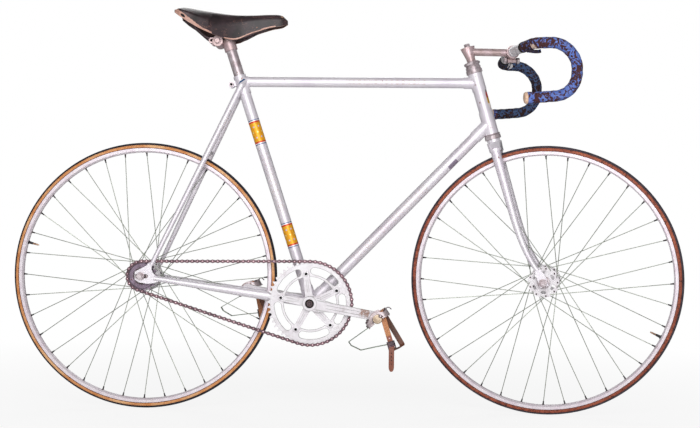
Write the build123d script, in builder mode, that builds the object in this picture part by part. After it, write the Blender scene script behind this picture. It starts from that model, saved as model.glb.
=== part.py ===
from build123d import *
import os
from math import asin, atan2, cos, degrees, floor, pi, radians, sin, sqrt, tan

# Track bicycle, in millimetres. The origin is the point of the saddle that carries the rider.
# +X is forward, +Y is the rider's left and +Z is up.
os.makedirs("parts", exist_ok=True)

# Layout of the frame
sit_back = 270.0             # the sit point lies this far behind the bracket axle
sit_height = 724.0           # and this far above it
bracket_drop = 61.7          # bracket axle below the line of the wheel axles
seat_angle = 71.7
head_angle = 73.5
front_reach = 577.6          # front axle ahead of the bracket axle, with the wheel straight
fork_rake = 26.0
fork_length = 364.0          # along the steering axis, from beside the axle to the crown
lower_stack = 20.5
head_tube_length = 155.5
upper_stack = 31.5
top_tube_below = 24.0        # top tube's axis below the upper end of the head tube
down_tube_above = 28.0       # down tube's axis above the lower end
wheel_turn = -11.0           # the fork stands turned a little to the right
bar_turn = 6.6               # and the stem is clamped a little to the left

# Fits
braze_gap = 0.15
running_gap = 0.05
seat_gap = 0.3
overrun = 5.0

# Frame tubes
head_tube_radius = 15.9
head_tube_bore = 14.6
top_tube_radius = 12.7
down_tube_radius = 14.3
seat_tube_radius = 14.3
lug_wall = 1.4
head_lug_length = 44.0
socket_length = 30.0         # lug socket past the side of the tube that it meets
socket_tip = 14.0
seat_lug_above = 15.5
seat_lug_below = 33.0
binder_radius = 8.0
binder_back = 25.0           # binder bolt behind the seat tube's axis
binder_half_width = 9.0
seat_stay_radius = 8.0
seat_stay_end_radius = 5.5
seat_stay_top_spread = 17.5
seat_stay_drop = 10.0        # stay tops below the seat node, along the seat tube
chain_stay_half_height = 11.0
chain_stay_half_width = 8.5
chain_stay_end_radius = 6.5
chain_stay_spread = 22.0
stay_bridge_radius = 5.5
tyre_room = 14.0             # from the tyre to the middle of a bridge
seat_stay_cap = 16.0
cap_slant = 28.0

# Bracket
shell_radius = 20.0
shell_half_width = 34.0
shell_bore = 17.0
shell_socket_length = 34.0
cup_radius = 19.0
cup_lip = 2.5
spindle_radius = 8.0

# Rear ends
rear_half_spacing = 55.0
track_end_thickness = 5.5
slot_half_width = 5.3
slot_behind = 14.0
slot_ahead = 14.0
end_low = 18.0               # plate below the axle's line
seat_tab_height = 34.0       # where the seat stay meets the plate
seat_tab_forward = 26.0
chain_tab_forward = 47.0

# Wheels
tyre_radius = 333.0
tyre_half_width = 11.0
tyre_height = 13.5           # above the rim's edge
rim_depth = 10.5
rim_edge_radius = tyre_radius - tyre_height
rim_inner_radius = rim_edge_radius - rim_depth
rim_half_width = 10.0
rim_bed_depth = 3.2
spoke_radius = 0.95
spoke_count = 36
spoke_crosses = 3
flange_radius = 38.0
flange_hole_radius = 34.0
flange_thickness = 3.2
flange_slots = 6
flange_slot_radius = 25.0
flange_slot_length = 13.0
flange_slot_width = 6.5
barrel_radius = 15.0
hub_cap_radius = 16.0

# Axles
front_axle_radius = 4.5
rear_axle_radius = 5.0
locknut_radius = 8.5
nut_radius = 9.0
nut_height = 8.0
axle_end = 4.0               # thread that stands out of the nut

# Drive
chain_pitch = 12.7
ring_teeth = 51
sprocket_teeth = 18
chain_links = 102
chain_line = 42.0
chain_half_width = 4.0
plate_half_height = 4.3
plate_waist = 3.0
tooth_thickness = 3.0
tooth_side_gap = 0.35
roller_radius = 4.0
tooth_rise = 2.6             # tooth tips past the pitch circle
ring_inner_radius = 65.0
ring_arms = 5
arm_step = 360.0 / ring_arms
ring_slot_radius = 80.0
ring_slot_half_width = 8.6
ring_slot_half_angle = 21.0
bolt_circle_radius = 73.0
sprocket_seat_radius = 17.5
lockring_radius = 21.0
lockring_notches = 3
lockring_thickness = 3.2

# Cranks
crank_length = 170.0
crank_angle = -10.0          # right crank below the horizontal, pointing forward
crank_inner = 52.0
crank_thickness = 12.0
crank_boss_radius = 18.0
crank_waist = 11.3           # half width of the arm
crank_eye_radius = 12.5
crank_boss_inner = 38.0
crank_cap_radius = 11.2
crank_cap_depth = 5.0
crank_groove_width = 8.0
crank_groove_depth = 1.5
spider_thickness = 4.6
spider_arm_root = 10.0
spider_arm_tip = 7.0
crank_bolt_radius = 7.5

# Pedals
pedal_spindle_radius = 5.0
pedal_barrel_radius = 9.5
pedal_clearance = 3.0        # between crank and cage
pedal_cage_half = 29.5
pedal_cage_width = 80.0
pedal_cage_height = 15.0
pedal_cage_wall = 2.2
pedal_barrel_length = 55.0
clip_width = 16.0
clip_thickness = 1.4
strap_width = 13.0
strap_thickness = 2.2
strap_top = 83.0
strap_lean = 20.0
strap_slack = 8.0
buckle_width = 17.0
strap_clearance = 2.0
strap_tail = 62.0
right_pedal_angle = -144.5   # the cage's front end, from straight forward
left_pedal_angle = -150.0

# Headset, stem and handlebar
steerer_radius = 12.7
cup_wall = 4.0
quill_radius = 11.0
stem_rise = 25.0             # extension's axis above the headset
stem_neck = 8.0
stem_head_depth = 18.0
stem_head_width = 13.0
stem_head_height = 11.0      # above the extension's axis
stem_bolt_radius = 6.0
stem_bolt_height = 8.0
clamp_bolt_radius = 5.5
clamp_bolt_half = 19.0
stem_extension = 108.0
stem_extension_radius = 9.3
clamp_radius = 16.0
clamp_half_width = 17.0
bar_radius = 11.9
bar_sleeve_radius = 13.0
tape_radius = 13.6
bar_half_width = 198.0
bar_reach = 112.0
hook_radius = 62.0
bar_tail = 55.0
sleeve_end = 34.0            # end of the bar's thick middle, from the clamp's middle
tape_start = 100.0
plug_length = 7.0

# Seatpost and saddle
seatpost_radius = 13.3
seatpost_depth = 90.0
saddle_length = 284.0
saddle_leather = 4.5
rail_radius = 3.5

LOW = (Align.CENTER, Align.CENTER, Align.MIN)


def unit(angle):
    return Vector(cos(radians(angle)), 0, sin(radians(angle)))


def rod(start, end, radius, end_radius=None, mode=Mode.ADD):
    line = end - start
    with Locations(Plane(origin=start, z_dir=line).location):
        if end_radius is None:
            Cylinder(radius, line.length, align=LOW, mode=mode)
        else:
            Cone(radius, end_radius, line.length, align=LOW, mode=mode)


def turn(plane, outline, mode=Mode.ADD):
    # The outline's points are (along the plane's normal, away from it).
    half = Plane(origin=plane.origin, x_dir=plane.z_dir, z_dir=plane.y_dir)
    with BuildSketch(half) as profile:
        with BuildLine():
            Polyline(*outline, close=True)
        make_face()
    revolve(profile.sketch, axis=Axis(plane.origin, plane.z_dir), mode=mode)


def plate(plane, outline, amount, both=False, mode=Mode.ADD):
    with BuildSketch(plane) as face:
        with BuildLine():
            Polyline(*outline, close=True)
        make_face()
    extrude(face.sketch, amount=amount, both=both, mode=mode)


def write(piece, name):
    piece.part.label = name
    export_step(piece.part, f"parts/{name}.step")


# Places that the frame's pieces share
bracket = Vector(sit_back, 0, -sit_height)
seat_dir = unit(180 - seat_angle)
head_dir = unit(180 - head_angle)
back_dir = unit(180 + 90 - seat_angle)
head_forward = unit(90 - head_angle)
left = Vector(0, 1, 0)

free_links = chain_links - (ring_teeth + sprocket_teeth) / 2
tooth_difference = (ring_teeth - sprocket_teeth) / pi
axle_distance = chain_pitch / 4 * (free_links + sqrt(free_links ** 2 - 2 * tooth_difference ** 2))
rear_axle = bracket + Vector(-sqrt(axle_distance ** 2 - bracket_drop ** 2), 0, bracket_drop)
straight_front_axle = bracket + Vector(front_reach, 0, bracket_drop)
steer_foot = straight_front_axle - head_forward * fork_rake

head_plane = Plane(origin=steer_foot, x_dir=head_forward, z_dir=head_dir)
steer_axis = Axis((0, 0, 0), head_dir)
fork_plane = Plane(origin=steer_foot, x_dir=head_forward.rotate(steer_axis, wheel_turn), z_dir=head_dir)
bar_plane = Plane(origin=steer_foot, x_dir=head_forward.rotate(steer_axis, bar_turn), z_dir=head_dir)

head_low = fork_length + lower_stack
head_high = head_low + head_tube_length
headset_top = head_high + upper_stack
top_node = steer_foot + head_dir * (head_high - top_tube_below)
down_node = steer_foot + head_dir * (head_low + down_tube_above)
seat_length = (top_node - bracket).Z / seat_dir.Z
seat_node = bracket + seat_dir * seat_length
seat_tube_top = seat_length + seat_lug_above
down_dir = (down_node - bracket).normalized()
rear_dir = (rear_axle - bracket).normalized()


def on_fork(forward, sideways, up):
    return fork_plane.from_local_coords(Vector(forward, sideways, up))


def on_bars(forward, sideways, up):
    return bar_plane.from_local_coords(Vector(forward, sideways, up))


# Frame tubes
def socket(start, end, radius):
    # A lug's socket, with a point on each side where it ends.
    rod(start, end, radius)
    tip_plane = Plane(origin=end, x_dir=end - start, z_dir=left)
    reach = radius + overrun
    slope = socket_tip * reach / radius
    for side in (1, -1):
        notch = [(0, 0), (-slope, side * reach), (reach, side * reach), (reach, 0)]
        plate(tip_plane, notch, reach, both=True, mode=Mode.SUBTRACT)


with BuildPart() as head_tube:
    rod(steer_foot + head_dir * head_low, steer_foot + head_dir * head_high, head_tube_radius)
    rod(
        steer_foot + head_dir * (head_low - overrun),
        steer_foot + head_dir * (head_high + overrun),
        head_tube_bore,
        mode=Mode.SUBTRACT,
    )
write(head_tube, "head_tube")

with BuildPart() as seat_tube:
    rod(bracket, bracket + seat_dir * seat_tube_top, seat_tube_radius)
    rod(
        bracket - left * shell_half_width,
        bracket + left * shell_half_width,
        shell_radius + braze_gap,
        mode=Mode.SUBTRACT,
    )
    rod(
        bracket + seat_dir * (seat_tube_top - seatpost_depth),
        bracket + seat_dir * (seat_tube_top + overrun),
        seatpost_radius + braze_gap,
        mode=Mode.SUBTRACT,
    )
write(seat_tube, "seat_tube")

with BuildPart() as top_tube:
    rod(seat_node, top_node, top_tube_radius)
    rod(
        bracket + seat_dir * shell_radius,
        bracket + seat_dir * (seat_tube_top + overrun),
        seat_tube_radius + braze_gap,
        mode=Mode.SUBTRACT,
    )
    rod(
        steer_foot + head_dir * head_low,
        steer_foot + head_dir * (head_high + overrun),
        head_tube_radius + braze_gap,
        mode=Mode.SUBTRACT,
    )
write(top_tube, "top_tube")

with BuildPart() as down_tube:
    rod(bracket, down_node, down_tube_radius)
    rod(
        bracket - left * shell_half_width,
        bracket + left * shell_half_width,
        shell_radius + braze_gap,
        mode=Mode.SUBTRACT,
    )
    rod(
        bracket,
        bracket + seat_dir * seat_length,
        seat_tube_radius + braze_gap,
        mode=Mode.SUBTRACT,
    )
    rod(
        steer_foot + head_dir * (head_low - overrun),
        steer_foot + head_dir * head_high,
        head_tube_radius + braze_gap,
        mode=Mode.SUBTRACT,
    )
write(down_tube, "down_tube")

sleeve = braze_gap + lug_wall
with BuildPart() as head_lug_upper:
    back = Vector(-1, 0, 0)
    socket(top_node, top_node + back * (head_tube_radius + socket_length), top_tube_radius + sleeve)
    rod(
        steer_foot + head_dir * (head_high - head_lug_length),
        steer_foot + head_dir * head_high,
        head_tube_radius + sleeve,
    )
    rod(
        steer_foot + head_dir * head_low,
        steer_foot + head_dir * (head_high + overrun),
        head_tube_radius + braze_gap,
        mode=Mode.SUBTRACT,
    )
    rod(top_node, seat_node, top_tube_radius + braze_gap, mode=Mode.SUBTRACT)
write(head_lug_upper, "head_lug_upper")

with BuildPart() as head_lug_lower:
    reach = head_tube_radius * 2 + socket_length
    socket(down_node, down_node - down_dir * reach, down_tube_radius + sleeve)
    rod(
        steer_foot + head_dir * head_low,
        steer_foot + head_dir * (head_low + head_lug_length + down_tube_above / 2),
        head_tube_radius + sleeve,
    )
    rod(
        steer_foot + head_dir * (head_low - overrun),
        steer_foot + head_dir * head_high,
        head_tube_radius + braze_gap,
        mode=Mode.SUBTRACT,
    )
    rod(down_node, bracket, down_tube_radius + braze_gap, mode=Mode.SUBTRACT)
write(head_lug_lower, "head_lug_lower")

stay_top = bracket + seat_dir * (seat_length - seat_stay_drop)
with BuildPart() as seat_lug:
    socket(
        seat_node,
        seat_node + Vector(seat_tube_radius + socket_length / 2, 0, 0),
        top_tube_radius + sleeve,
    )
    rod(
        bracket + seat_dir * (seat_length - seat_lug_below),
        bracket + seat_dir * seat_tube_top,
        seat_tube_radius + sleeve,
    )
    binder = bracket + seat_dir * seat_length + back_dir * binder_back
    rod(binder - left * binder_half_width, binder + left * binder_half_width, binder_radius)
    web_plane = Plane(origin=bracket + seat_dir * seat_length, x_dir=back_dir, z_dir=left)
    with BuildSketch(web_plane) as web:
        Rectangle(binder_back, binder_radius * 1.6, align=(Align.MIN, Align.CENTER))
    extrude(web.sketch, amount=binder_half_width * 0.8, both=True)
    rod(
        bracket + seat_dir * shell_radius,
        bracket + seat_dir * (seat_tube_top + overrun),
        seat_tube_radius + braze_gap,
        mode=Mode.SUBTRACT,
    )
    rod(seat_node, top_node, top_tube_radius + braze_gap, mode=Mode.SUBTRACT)
write(seat_lug, "seat_lug")

with BuildPart() as bracket_shell:
    for direction, radius in ((seat_dir, seat_tube_radius), (down_dir, down_tube_radius)):
        socket(bracket, bracket + direction * (shell_radius + shell_socket_length), radius + sleeve)
    for direction, radius in ((seat_dir, seat_tube_radius), (down_dir, down_tube_radius)):
        rod(
            bracket,
            bracket + direction * (shell_radius + shell_socket_length + overrun),
            radius + braze_gap,
            mode=Mode.SUBTRACT,
        )
    rod(bracket - left * shell_half_width, bracket + left * shell_half_width, shell_radius)
    rod(
        bracket - left * (shell_half_width + overrun),
        bracket + left * (shell_half_width + overrun),
        shell_bore,
        mode=Mode.SUBTRACT,
    )
write(bracket_shell, "bracket_shell")

cup_plane = Plane(origin=bracket, x_dir=Vector(1, 0, 0), z_dir=left)
with BuildPart() as bracket_cups:
    for side in (1, -1):
        inner = side * (shell_half_width - cup_lip * 3)
        face = side * (shell_half_width + braze_gap)
        outer = side * (shell_half_width + cup_lip)
        turn(
            cup_plane,
            [
                (inner, spindle_radius + running_gap),
                (inner, shell_bore - braze_gap),
                (face, shell_bore - braze_gap),
                (face, cup_radius),
                (outer, cup_radius),
                (outer, spindle_radius + running_gap),
            ],
        )
write(bracket_cups, "bracket_cups")

# Rear ends: plates with a slot that opens to the rear
end_inner = rear_half_spacing
end_outer = rear_half_spacing + track_end_thickness
end_middle = (end_inner + end_outer) / 2
prong = slot_half_width + locknut_radius


def track_end_face(plane, room=0):
    # A broad plate with a hollow edge between its two tabs
    with BuildSketch(plane) as face:
        with BuildLine():
            Line((-slot_behind, -prong * 0.6), (-slot_behind, prong * 0.8))
            Line((-slot_behind, prong * 0.8), (seat_tab_forward / 2, end_low * 1.4))
            Line((seat_tab_forward / 2, end_low * 1.4), (seat_tab_forward * 0.86, seat_tab_height))
            Line((seat_tab_forward * 0.86, seat_tab_height), (seat_tab_forward * 1.2, seat_tab_height))
            ThreePointArc(
                (seat_tab_forward * 1.2, seat_tab_height),
                (seat_tab_forward * 1.1, prong),
                (chain_tab_forward, -slot_half_width * 0.4),
            )
            Line((chain_tab_forward, -slot_half_width * 0.4), (chain_tab_forward, -prong * 0.8))
            ThreePointArc(
                (chain_tab_forward, -prong * 0.8),
                (seat_tab_forward / 2, -end_low),
                (-slot_behind, -prong * 0.6),
            )
        make_face()
        if room:
            offset(amount=room)
    return face.sketch


end_plane = Plane(origin=rear_axle, x_dir=Vector(1, 0, 0), z_dir=-left)
for side, name in ((1, "right"), (-1, "left")):
    with BuildPart() as track_end:
        with BuildSketch(end_plane.offset(side * end_middle)):
            add(track_end_face(Plane.XY))
            with Locations((slot_ahead, 0)):
                Circle(slot_half_width, mode=Mode.SUBTRACT)
            Rectangle(
                slot_behind * 2 + slot_ahead,
                slot_half_width * 2,
                align=(Align.MAX, Align.CENTER),
                mode=Mode.SUBTRACT,
            )
            with Locations((slot_ahead / 2, 0)):
                Rectangle(slot_ahead, slot_half_width * 2, mode=Mode.SUBTRACT)
        extrude(amount=track_end_thickness / 2, both=True)
    write(track_end, f"track_end_{name}")


def on_rear_end(forward, up, side):
    return rear_axle + Vector(forward, -side * end_middle, up)


def end_room(side):
    # A slot for the plate in the end of a stay
    room = track_end_face(end_plane.offset(side * end_middle), braze_gap)
    extrude(room, amount=track_end_thickness / 2 + braze_gap, both=True, mode=Mode.SUBTRACT)


# Each row is a share of the chain stay's length, then of its sideways run from the bracket
# to the end, and its half height and half width.
chain_stay_stations = [
    (0.0, 0.0, chain_stay_half_height, chain_stay_half_width),
    (0.28, 0.14, chain_stay_half_height, chain_stay_half_width),
    (0.6, 0.5, chain_stay_half_height * 0.85, chain_stay_half_width),
    (1.0, 1.0, chain_stay_end_radius, chain_stay_end_radius),
]
chain_stay_length = axle_distance - chain_tab_forward + prong


def chain_stay_form(side, room=0, mode=Mode.ADD):
    sections = []
    for along, share, height, width in chain_stay_stations:
        spread = chain_stay_spread + (end_middle - chain_stay_spread) * share
        station = bracket + rear_dir * chain_stay_length * along - left * side * spread
        with BuildSketch(Plane(origin=station, x_dir=left, z_dir=rear_dir)) as section:
            Ellipse(width + room, height + room)
        sections.append(section.sketch)
    loft(sections, mode=mode)


def seat_stay_form(side, room=0, mode=Mode.ADD):
    foot = on_rear_end(seat_tab_forward, seat_tab_height - prong / 2, side)
    top = stay_top - left * side * seat_stay_top_spread
    rod(top, foot, seat_stay_radius + room, seat_stay_end_radius + room, mode)
    return top, foot


for side, name in ((1, "right"), (-1, "left")):
    with BuildPart() as chain_stay:
        chain_stay_form(side)
        rod(
            bracket - left * shell_half_width,
            bracket + left * shell_half_width,
            shell_radius + braze_gap,
            mode=Mode.SUBTRACT,
        )
        end_room(side)
    write(chain_stay, f"chain_stay_{name}")

    with BuildPart() as seat_stay:
        top, foot = seat_stay_form(side)
        # The top end is a long slanting cap that faces out and up.
        along = (top - foot).normalized()
        outward = (-left * side - along * (-left * side).dot(along)).normalized()
        rod(top, top + along * seat_stay_cap, seat_stay_radius)
        cap_normal = outward * cos(radians(cap_slant)) + along * sin(radians(cap_slant))
        cap_plane = Plane(origin=top + outward * seat_stay_radius, z_dir=cap_normal)
        with BuildSketch(cap_plane) as cap:
            Circle(seat_stay_cap * 2)
        extrude(cap.sketch, amount=seat_stay_cap, mode=Mode.SUBTRACT)
        rod(
            bracket + seat_dir * shell_radius,
            bracket + seat_dir * (seat_tube_top + overrun),
            seat_tube_radius + sleeve + braze_gap,
            mode=Mode.SUBTRACT,
        )
        rod(seat_node, top_node, top_tube_radius + sleeve + braze_gap, mode=Mode.SUBTRACT)
        end_room(side)
    write(seat_stay, f"seat_stay_{name}")

# A tube between the seat stays and one between the chain stays, just outside the tyre
stay_foot = rear_axle + Vector(seat_tab_forward, 0, seat_tab_height - prong / 2)
stay_dir = (stay_top - stay_foot).normalized()
bridge_along = tyre_radius + tyre_room - seat_tab_height
bridge_share = bridge_along / (stay_top - stay_foot).length
bridge_half = end_middle + (seat_stay_top_spread - end_middle) * bridge_share
with BuildPart() as stay_bridges:
    for place, half in (
        (stay_foot + stay_dir * bridge_along, bridge_half),
        (rear_axle - rear_dir * (tyre_radius + tyre_room), chain_stay_spread),
    ):
        rod(place - left * half, place + left * half, stay_bridge_radius)
    for side in (1, -1):
        seat_stay_form(side, braze_gap, Mode.SUBTRACT)
        chain_stay_form(side, braze_gap, Mode.SUBTRACT)
write(stay_bridges, "stay_bridges")

# Wheels
spokes_per_flange = spoke_count // 2
spoke_step = 360 / spokes_per_flange


def wheel_point(radius, angle, across):
    return Vector(radius * cos(radians(angle)), radius * sin(radians(angle)), across)


def wheel(name, plane, right_flange, left_flange, half_body, bore, slots):
    bed = rim_edge_radius - rim_bed_depth
    with BuildPart() as rim:
        half = Plane(origin=plane.origin, x_dir=plane.z_dir, z_dir=plane.y_dir)
        with BuildSketch(half) as section:
            with BuildLine():
                ThreePointArc(
                    (-rim_half_width, rim_edge_radius), (0, bed), (rim_half_width, rim_edge_radius)
                )
                Polyline(
                    (rim_half_width, rim_edge_radius),
                    (rim_half_width, rim_inner_radius + rim_bed_depth),
                    (rim_half_width / 2, rim_inner_radius),
                    (-rim_half_width / 2, rim_inner_radius),
                    (-rim_half_width, rim_inner_radius + rim_bed_depth),
                    (-rim_half_width, rim_edge_radius),
                )
            make_face()
        revolve(section.sketch, axis=Axis(plane.origin, plane.z_dir))
    write(rim, f"{name}_rim")

    # The tyre's section has flats on its bed, sides, shoulders and crown.
    height = tyre_radius - bed
    with BuildPart() as tyre:
        tyre_outline = [
            (-tyre_half_width * 0.45, bed + seat_gap * 3),
            (tyre_half_width * 0.45, bed + seat_gap * 3),
            (tyre_half_width, bed + height * 0.42),
            (tyre_half_width * 0.68, bed + height * 0.85),
            (0, tyre_radius),
            (-tyre_half_width * 0.68, bed + height * 0.85),
            (-tyre_half_width, bed + height * 0.42),
        ]
        turn(plane, tyre_outline)
    write(tyre, f"{name}_tyre")

    hub_outline = [
        (-half_body, bore),
        (-half_body, hub_cap_radius),
        (-left_flange - flange_thickness / 2, hub_cap_radius),
        (-left_flange - flange_thickness / 2, flange_radius),
        (-left_flange + flange_thickness / 2, flange_radius),
        (-left_flange + flange_thickness / 2, flange_hole_radius - flange_thickness),
        (-left_flange + flange_thickness * 1.5, barrel_radius),
        (right_flange - flange_thickness * 1.5, barrel_radius),
        (right_flange - flange_thickness / 2, flange_hole_radius - flange_thickness),
        (right_flange - flange_thickness / 2, flange_radius),
        (right_flange + flange_thickness / 2, flange_radius),
        (right_flange + flange_thickness / 2, slots[0]),
        (half_body, slots[0]),
        (half_body, bore),
    ]
    with BuildPart() as hub:
        turn(plane, hub_outline)
        with BuildSketch(plane) as windows:
            with PolarLocations(flange_slot_radius, flange_slots, start_angle=90):
                SlotOverall(flange_slot_length, flange_slot_width, rotation=90)
        extrude(windows.sketch, amount=half_body, both=True, mode=Mode.SUBTRACT)
    write(hub, f"{name}_hub")

    # A spoke that leaves the outer face stands off enough to pass the flange's rim.
    stand_off = flange_thickness / 2 + spoke_radius + running_gap
    past_rim = sqrt(flange_radius ** 2 - flange_hole_radius ** 2) / (rim_inner_radius - flange_hole_radius)
    with BuildPart() as spokes:
        for flange, across in enumerate((right_flange, -left_flange)):
            for number in range(spokes_per_flange):
                lead = 1 if number % 2 else -1
                hub_angle = number * spoke_step + flange * spoke_step / 2
                rim_angle = hub_angle + lead * spoke_crosses * spoke_step
                lift = stand_off + (abs(across) * past_rim if lead * across > 0 else 0)
                start = wheel_point(flange_hole_radius, hub_angle, across + lead * lift)
                end = wheel_point(
                    rim_inner_radius - seat_gap, rim_angle, across / right_flange * rim_bed_depth / 2
                )
                rod(
                    plane.from_local_coords(start),
                    plane.from_local_coords(end),
                    spoke_radius,
                )
    write(spokes, f"{name}_spokes")


right = Vector(0, -1, 0)
rear_wheel_plane = Plane(origin=rear_axle, x_dir=Vector(1, 0, 0), z_dir=right)
front_axle = on_fork(fork_rake, 0, 0)
front_wheel_plane = Plane(
    origin=front_axle, x_dir=fork_plane.y_dir.cross(Vector(0, 0, 1)), z_dir=-fork_plane.y_dir
)

front_half_spacing = 50.0
fork_end_thickness = 5.0
front_flange = 33.0
rear_right_flange = 29.0
rear_left_flange = 34.0
hub_end_gap = 8.0            # room for the locknut between hub and frame

front_hub_half = front_half_spacing - hub_end_gap
rear_hub_half = rear_half_spacing - hub_end_gap
wheel(
    "front",
    front_wheel_plane,
    front_flange,
    front_flange,
    front_hub_half,
    front_axle_radius + running_gap,
    [hub_cap_radius],
)
wheel(
    "rear",
    rear_wheel_plane,
    rear_right_flange,
    rear_left_flange,
    rear_hub_half,
    rear_axle_radius + running_gap,
    [sprocket_seat_radius],
)


def axle(name, plane, radius, half_body, half_spacing, thickness):
    face = half_spacing - running_gap
    shank = radius
    nut_face = half_spacing + thickness + running_gap
    with BuildPart() as piece:
        with BuildSketch(plane):
            Circle(shank)
        extrude(amount=nut_face + nut_height + axle_end, both=True)
        for side in (1, -1):
            with BuildSketch(plane.offset(side * (half_body + seat_gap))):
                Circle(locknut_radius)
            extrude(amount=side * (face - half_body - seat_gap))
            with BuildSketch(plane.offset(side * nut_face)):
                RegularPolygon(nut_radius, 6)
            extrude(amount=side * nut_height)
    write(piece, name)


axle(
    "front_axle", front_wheel_plane, front_axle_radius, front_hub_half, front_half_spacing, fork_end_thickness
)
axle("rear_axle", rear_wheel_plane, rear_axle_radius, rear_hub_half, rear_half_spacing, track_end_thickness)


# Drive
def pitch_radius(teeth):
    return chain_pitch / (2 * sin(pi / teeth))


def toothed_outline(teeth, phase):
    # Each tooth has a root, two flanks and a flat tip.
    root = pitch_radius(teeth) - roller_radius
    tip = pitch_radius(teeth) + tooth_rise
    step = 360 / teeth
    outline = []
    for number in range(teeth):
        for radius, share in ((root, -0.17), (root, 0.17), (tip, 0.42), (tip, 0.58)):
            angle = radians(phase + (number + share) * step)
            outline.append((radius * cos(angle), radius * sin(angle)))
    return outline


ring_radius = pitch_radius(ring_teeth)
sprocket_radius = pitch_radius(sprocket_teeth)
drive_angle = degrees(atan2(bracket_drop, -(rear_axle - bracket).X))
wrap = degrees(asin((ring_radius - sprocket_radius) / axle_distance))
run_length = sqrt(axle_distance ** 2 - (ring_radius - sprocket_radius) ** 2)
run_links = run_length / chain_pitch
upper_normal = 90 - drive_angle + wrap
lower_normal = -90 - drive_angle - wrap
sprocket_links = (180 - 2 * wrap) / 360 * sprocket_teeth


def chain_place(link):
    # Centre, outward angle and step of the chain, counted in links from where it leaves the
    # top of the chainring and runs back to the sprocket.
    upper = Vector(cos(radians(upper_normal)), sin(radians(upper_normal)), 0)
    lower = Vector(cos(radians(lower_normal)), sin(radians(lower_normal)), 0)
    hub = Vector((rear_axle - bracket).X, (rear_axle - bracket).Z, 0)
    link = link % chain_links
    if link < run_links:
        share = link / run_links
        point = upper * ring_radius * (1 - share) + (hub + upper * sprocket_radius) * share
        return point, upper_normal
    link -= run_links
    if link < sprocket_links:
        angle = upper_normal + link * 360 / sprocket_teeth
        turned = Vector(cos(radians(angle)), sin(radians(angle)), 0)
        return hub + turned * sprocket_radius, angle
    link -= sprocket_links
    if link < run_links:
        share = link / run_links
        point = (hub + lower * sprocket_radius) * (1 - share) + lower * ring_radius * share
        return point, lower_normal
    link -= run_links
    angle = lower_normal + link * 360 / ring_teeth
    turned = Vector(cos(radians(angle)), sin(radians(angle)), 0)
    return turned * ring_radius, angle


def chain_edge(side):
    edge = []
    for number in range(chain_links * 2):
        point, angle = chain_place(number / 2)
        height = plate_waist if number % 2 else plate_half_height
        outward = Vector(cos(radians(angle)), sin(radians(angle)), 0)
        place = point + outward * height * side
        edge.append((place.X, place.Y))
    return edge


chain_plane = Plane(origin=bracket + right * chain_line, x_dir=Vector(1, 0, 0), z_dir=right)
sprocket_plane = Plane(origin=rear_axle + right * chain_line, x_dir=Vector(1, 0, 0), z_dir=right)
channel = tooth_thickness + tooth_side_gap * 2
with BuildPart() as chain:
    with BuildSketch(chain_plane):
        with BuildLine():
            Polyline(*chain_edge(1), close=True)
        make_face()
        with BuildLine():
            Polyline(*chain_edge(-1), close=True)
        make_face(mode=Mode.SUBTRACT)
    extrude(amount=chain_half_width, both=True)
    for plane, radius in ((chain_plane, ring_radius), (sprocket_plane, sprocket_radius)):
        with BuildSketch(plane):
            Circle(radius + tooth_rise + seat_gap * 2)
        extrude(amount=channel / 2, both=True, mode=Mode.SUBTRACT)
write(chain, "chain")

# The first roller of the upper run stands at the ring's upper tangent.
sprocket_phase = upper_normal - (run_links - floor(run_links)) * 360 / sprocket_teeth + 360 / sprocket_teeth
crank_plane = Plane(origin=bracket, x_dir=unit(crank_angle), z_dir=right)
ring_plane = crank_plane.offset(chain_line)
with BuildPart() as chainring:
    with BuildSketch(ring_plane):
        with BuildLine():
            Polyline(*toothed_outline(ring_teeth, upper_normal - crank_angle), close=True)
        make_face()
        Circle(ring_inner_radius, mode=Mode.SUBTRACT)
        for number in range(ring_arms):
            with BuildLine(mode=Mode.PRIVATE) as slot_line:
                CenterArc(
                    (0, 0),
                    ring_slot_radius,
                    arm_step * number - ring_slot_half_angle,
                    ring_slot_half_angle * 2,
                )
            SlotArc(slot_line.edges()[0], ring_slot_half_width * 2, mode=Mode.SUBTRACT)
    extrude(amount=tooth_thickness / 2, both=True)
write(chainring, "chainring")

with BuildPart() as sprocket:
    with BuildSketch(sprocket_plane):
        with BuildLine():
            Polyline(*toothed_outline(sprocket_teeth, sprocket_phase), close=True)
        make_face()
        Circle(sprocket_seat_radius + running_gap, mode=Mode.SUBTRACT)
    extrude(amount=tooth_thickness / 2, both=True)
write(sprocket, "sprocket")

with BuildPart() as lockring:
    with BuildSketch(sprocket_plane.offset(tooth_thickness / 2 + running_gap)):
        Circle(lockring_radius)
        Circle(sprocket_seat_radius + running_gap, mode=Mode.SUBTRACT)
        with PolarLocations(lockring_radius, lockring_notches, start_angle=90):
            Rectangle(overrun, overrun, mode=Mode.SUBTRACT)
    extrude(amount=lockring_thickness)
write(lockring, "lockring")


# Cranks
def crank_arm(plane):
    # The plane lies on the arm's inner face, with its normal pointing away from the frame.
    with BuildSketch(plane) as arm:
        Circle(crank_boss_radius)
        with BuildLine():
            Polyline(
                (0, crank_boss_radius),
                (crank_boss_radius * 3.2, crank_waist),
                (crank_length - crank_eye_radius, crank_waist),
                (crank_length, crank_eye_radius),
                (crank_length, -crank_eye_radius),
                (crank_length - crank_eye_radius, -crank_waist),
                (crank_boss_radius * 3.2, -crank_waist),
                (0, -crank_boss_radius),
                close=True,
            )
        make_face()
        with Locations((crank_length, 0)):
            Circle(crank_eye_radius)
    extrude(arm.sketch, amount=crank_thickness)
    with BuildSketch(plane.offset(crank_boss_inner - crank_inner)) as boss:
        Circle(crank_boss_radius)
    extrude(boss.sketch, amount=crank_inner - crank_boss_inner)


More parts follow.
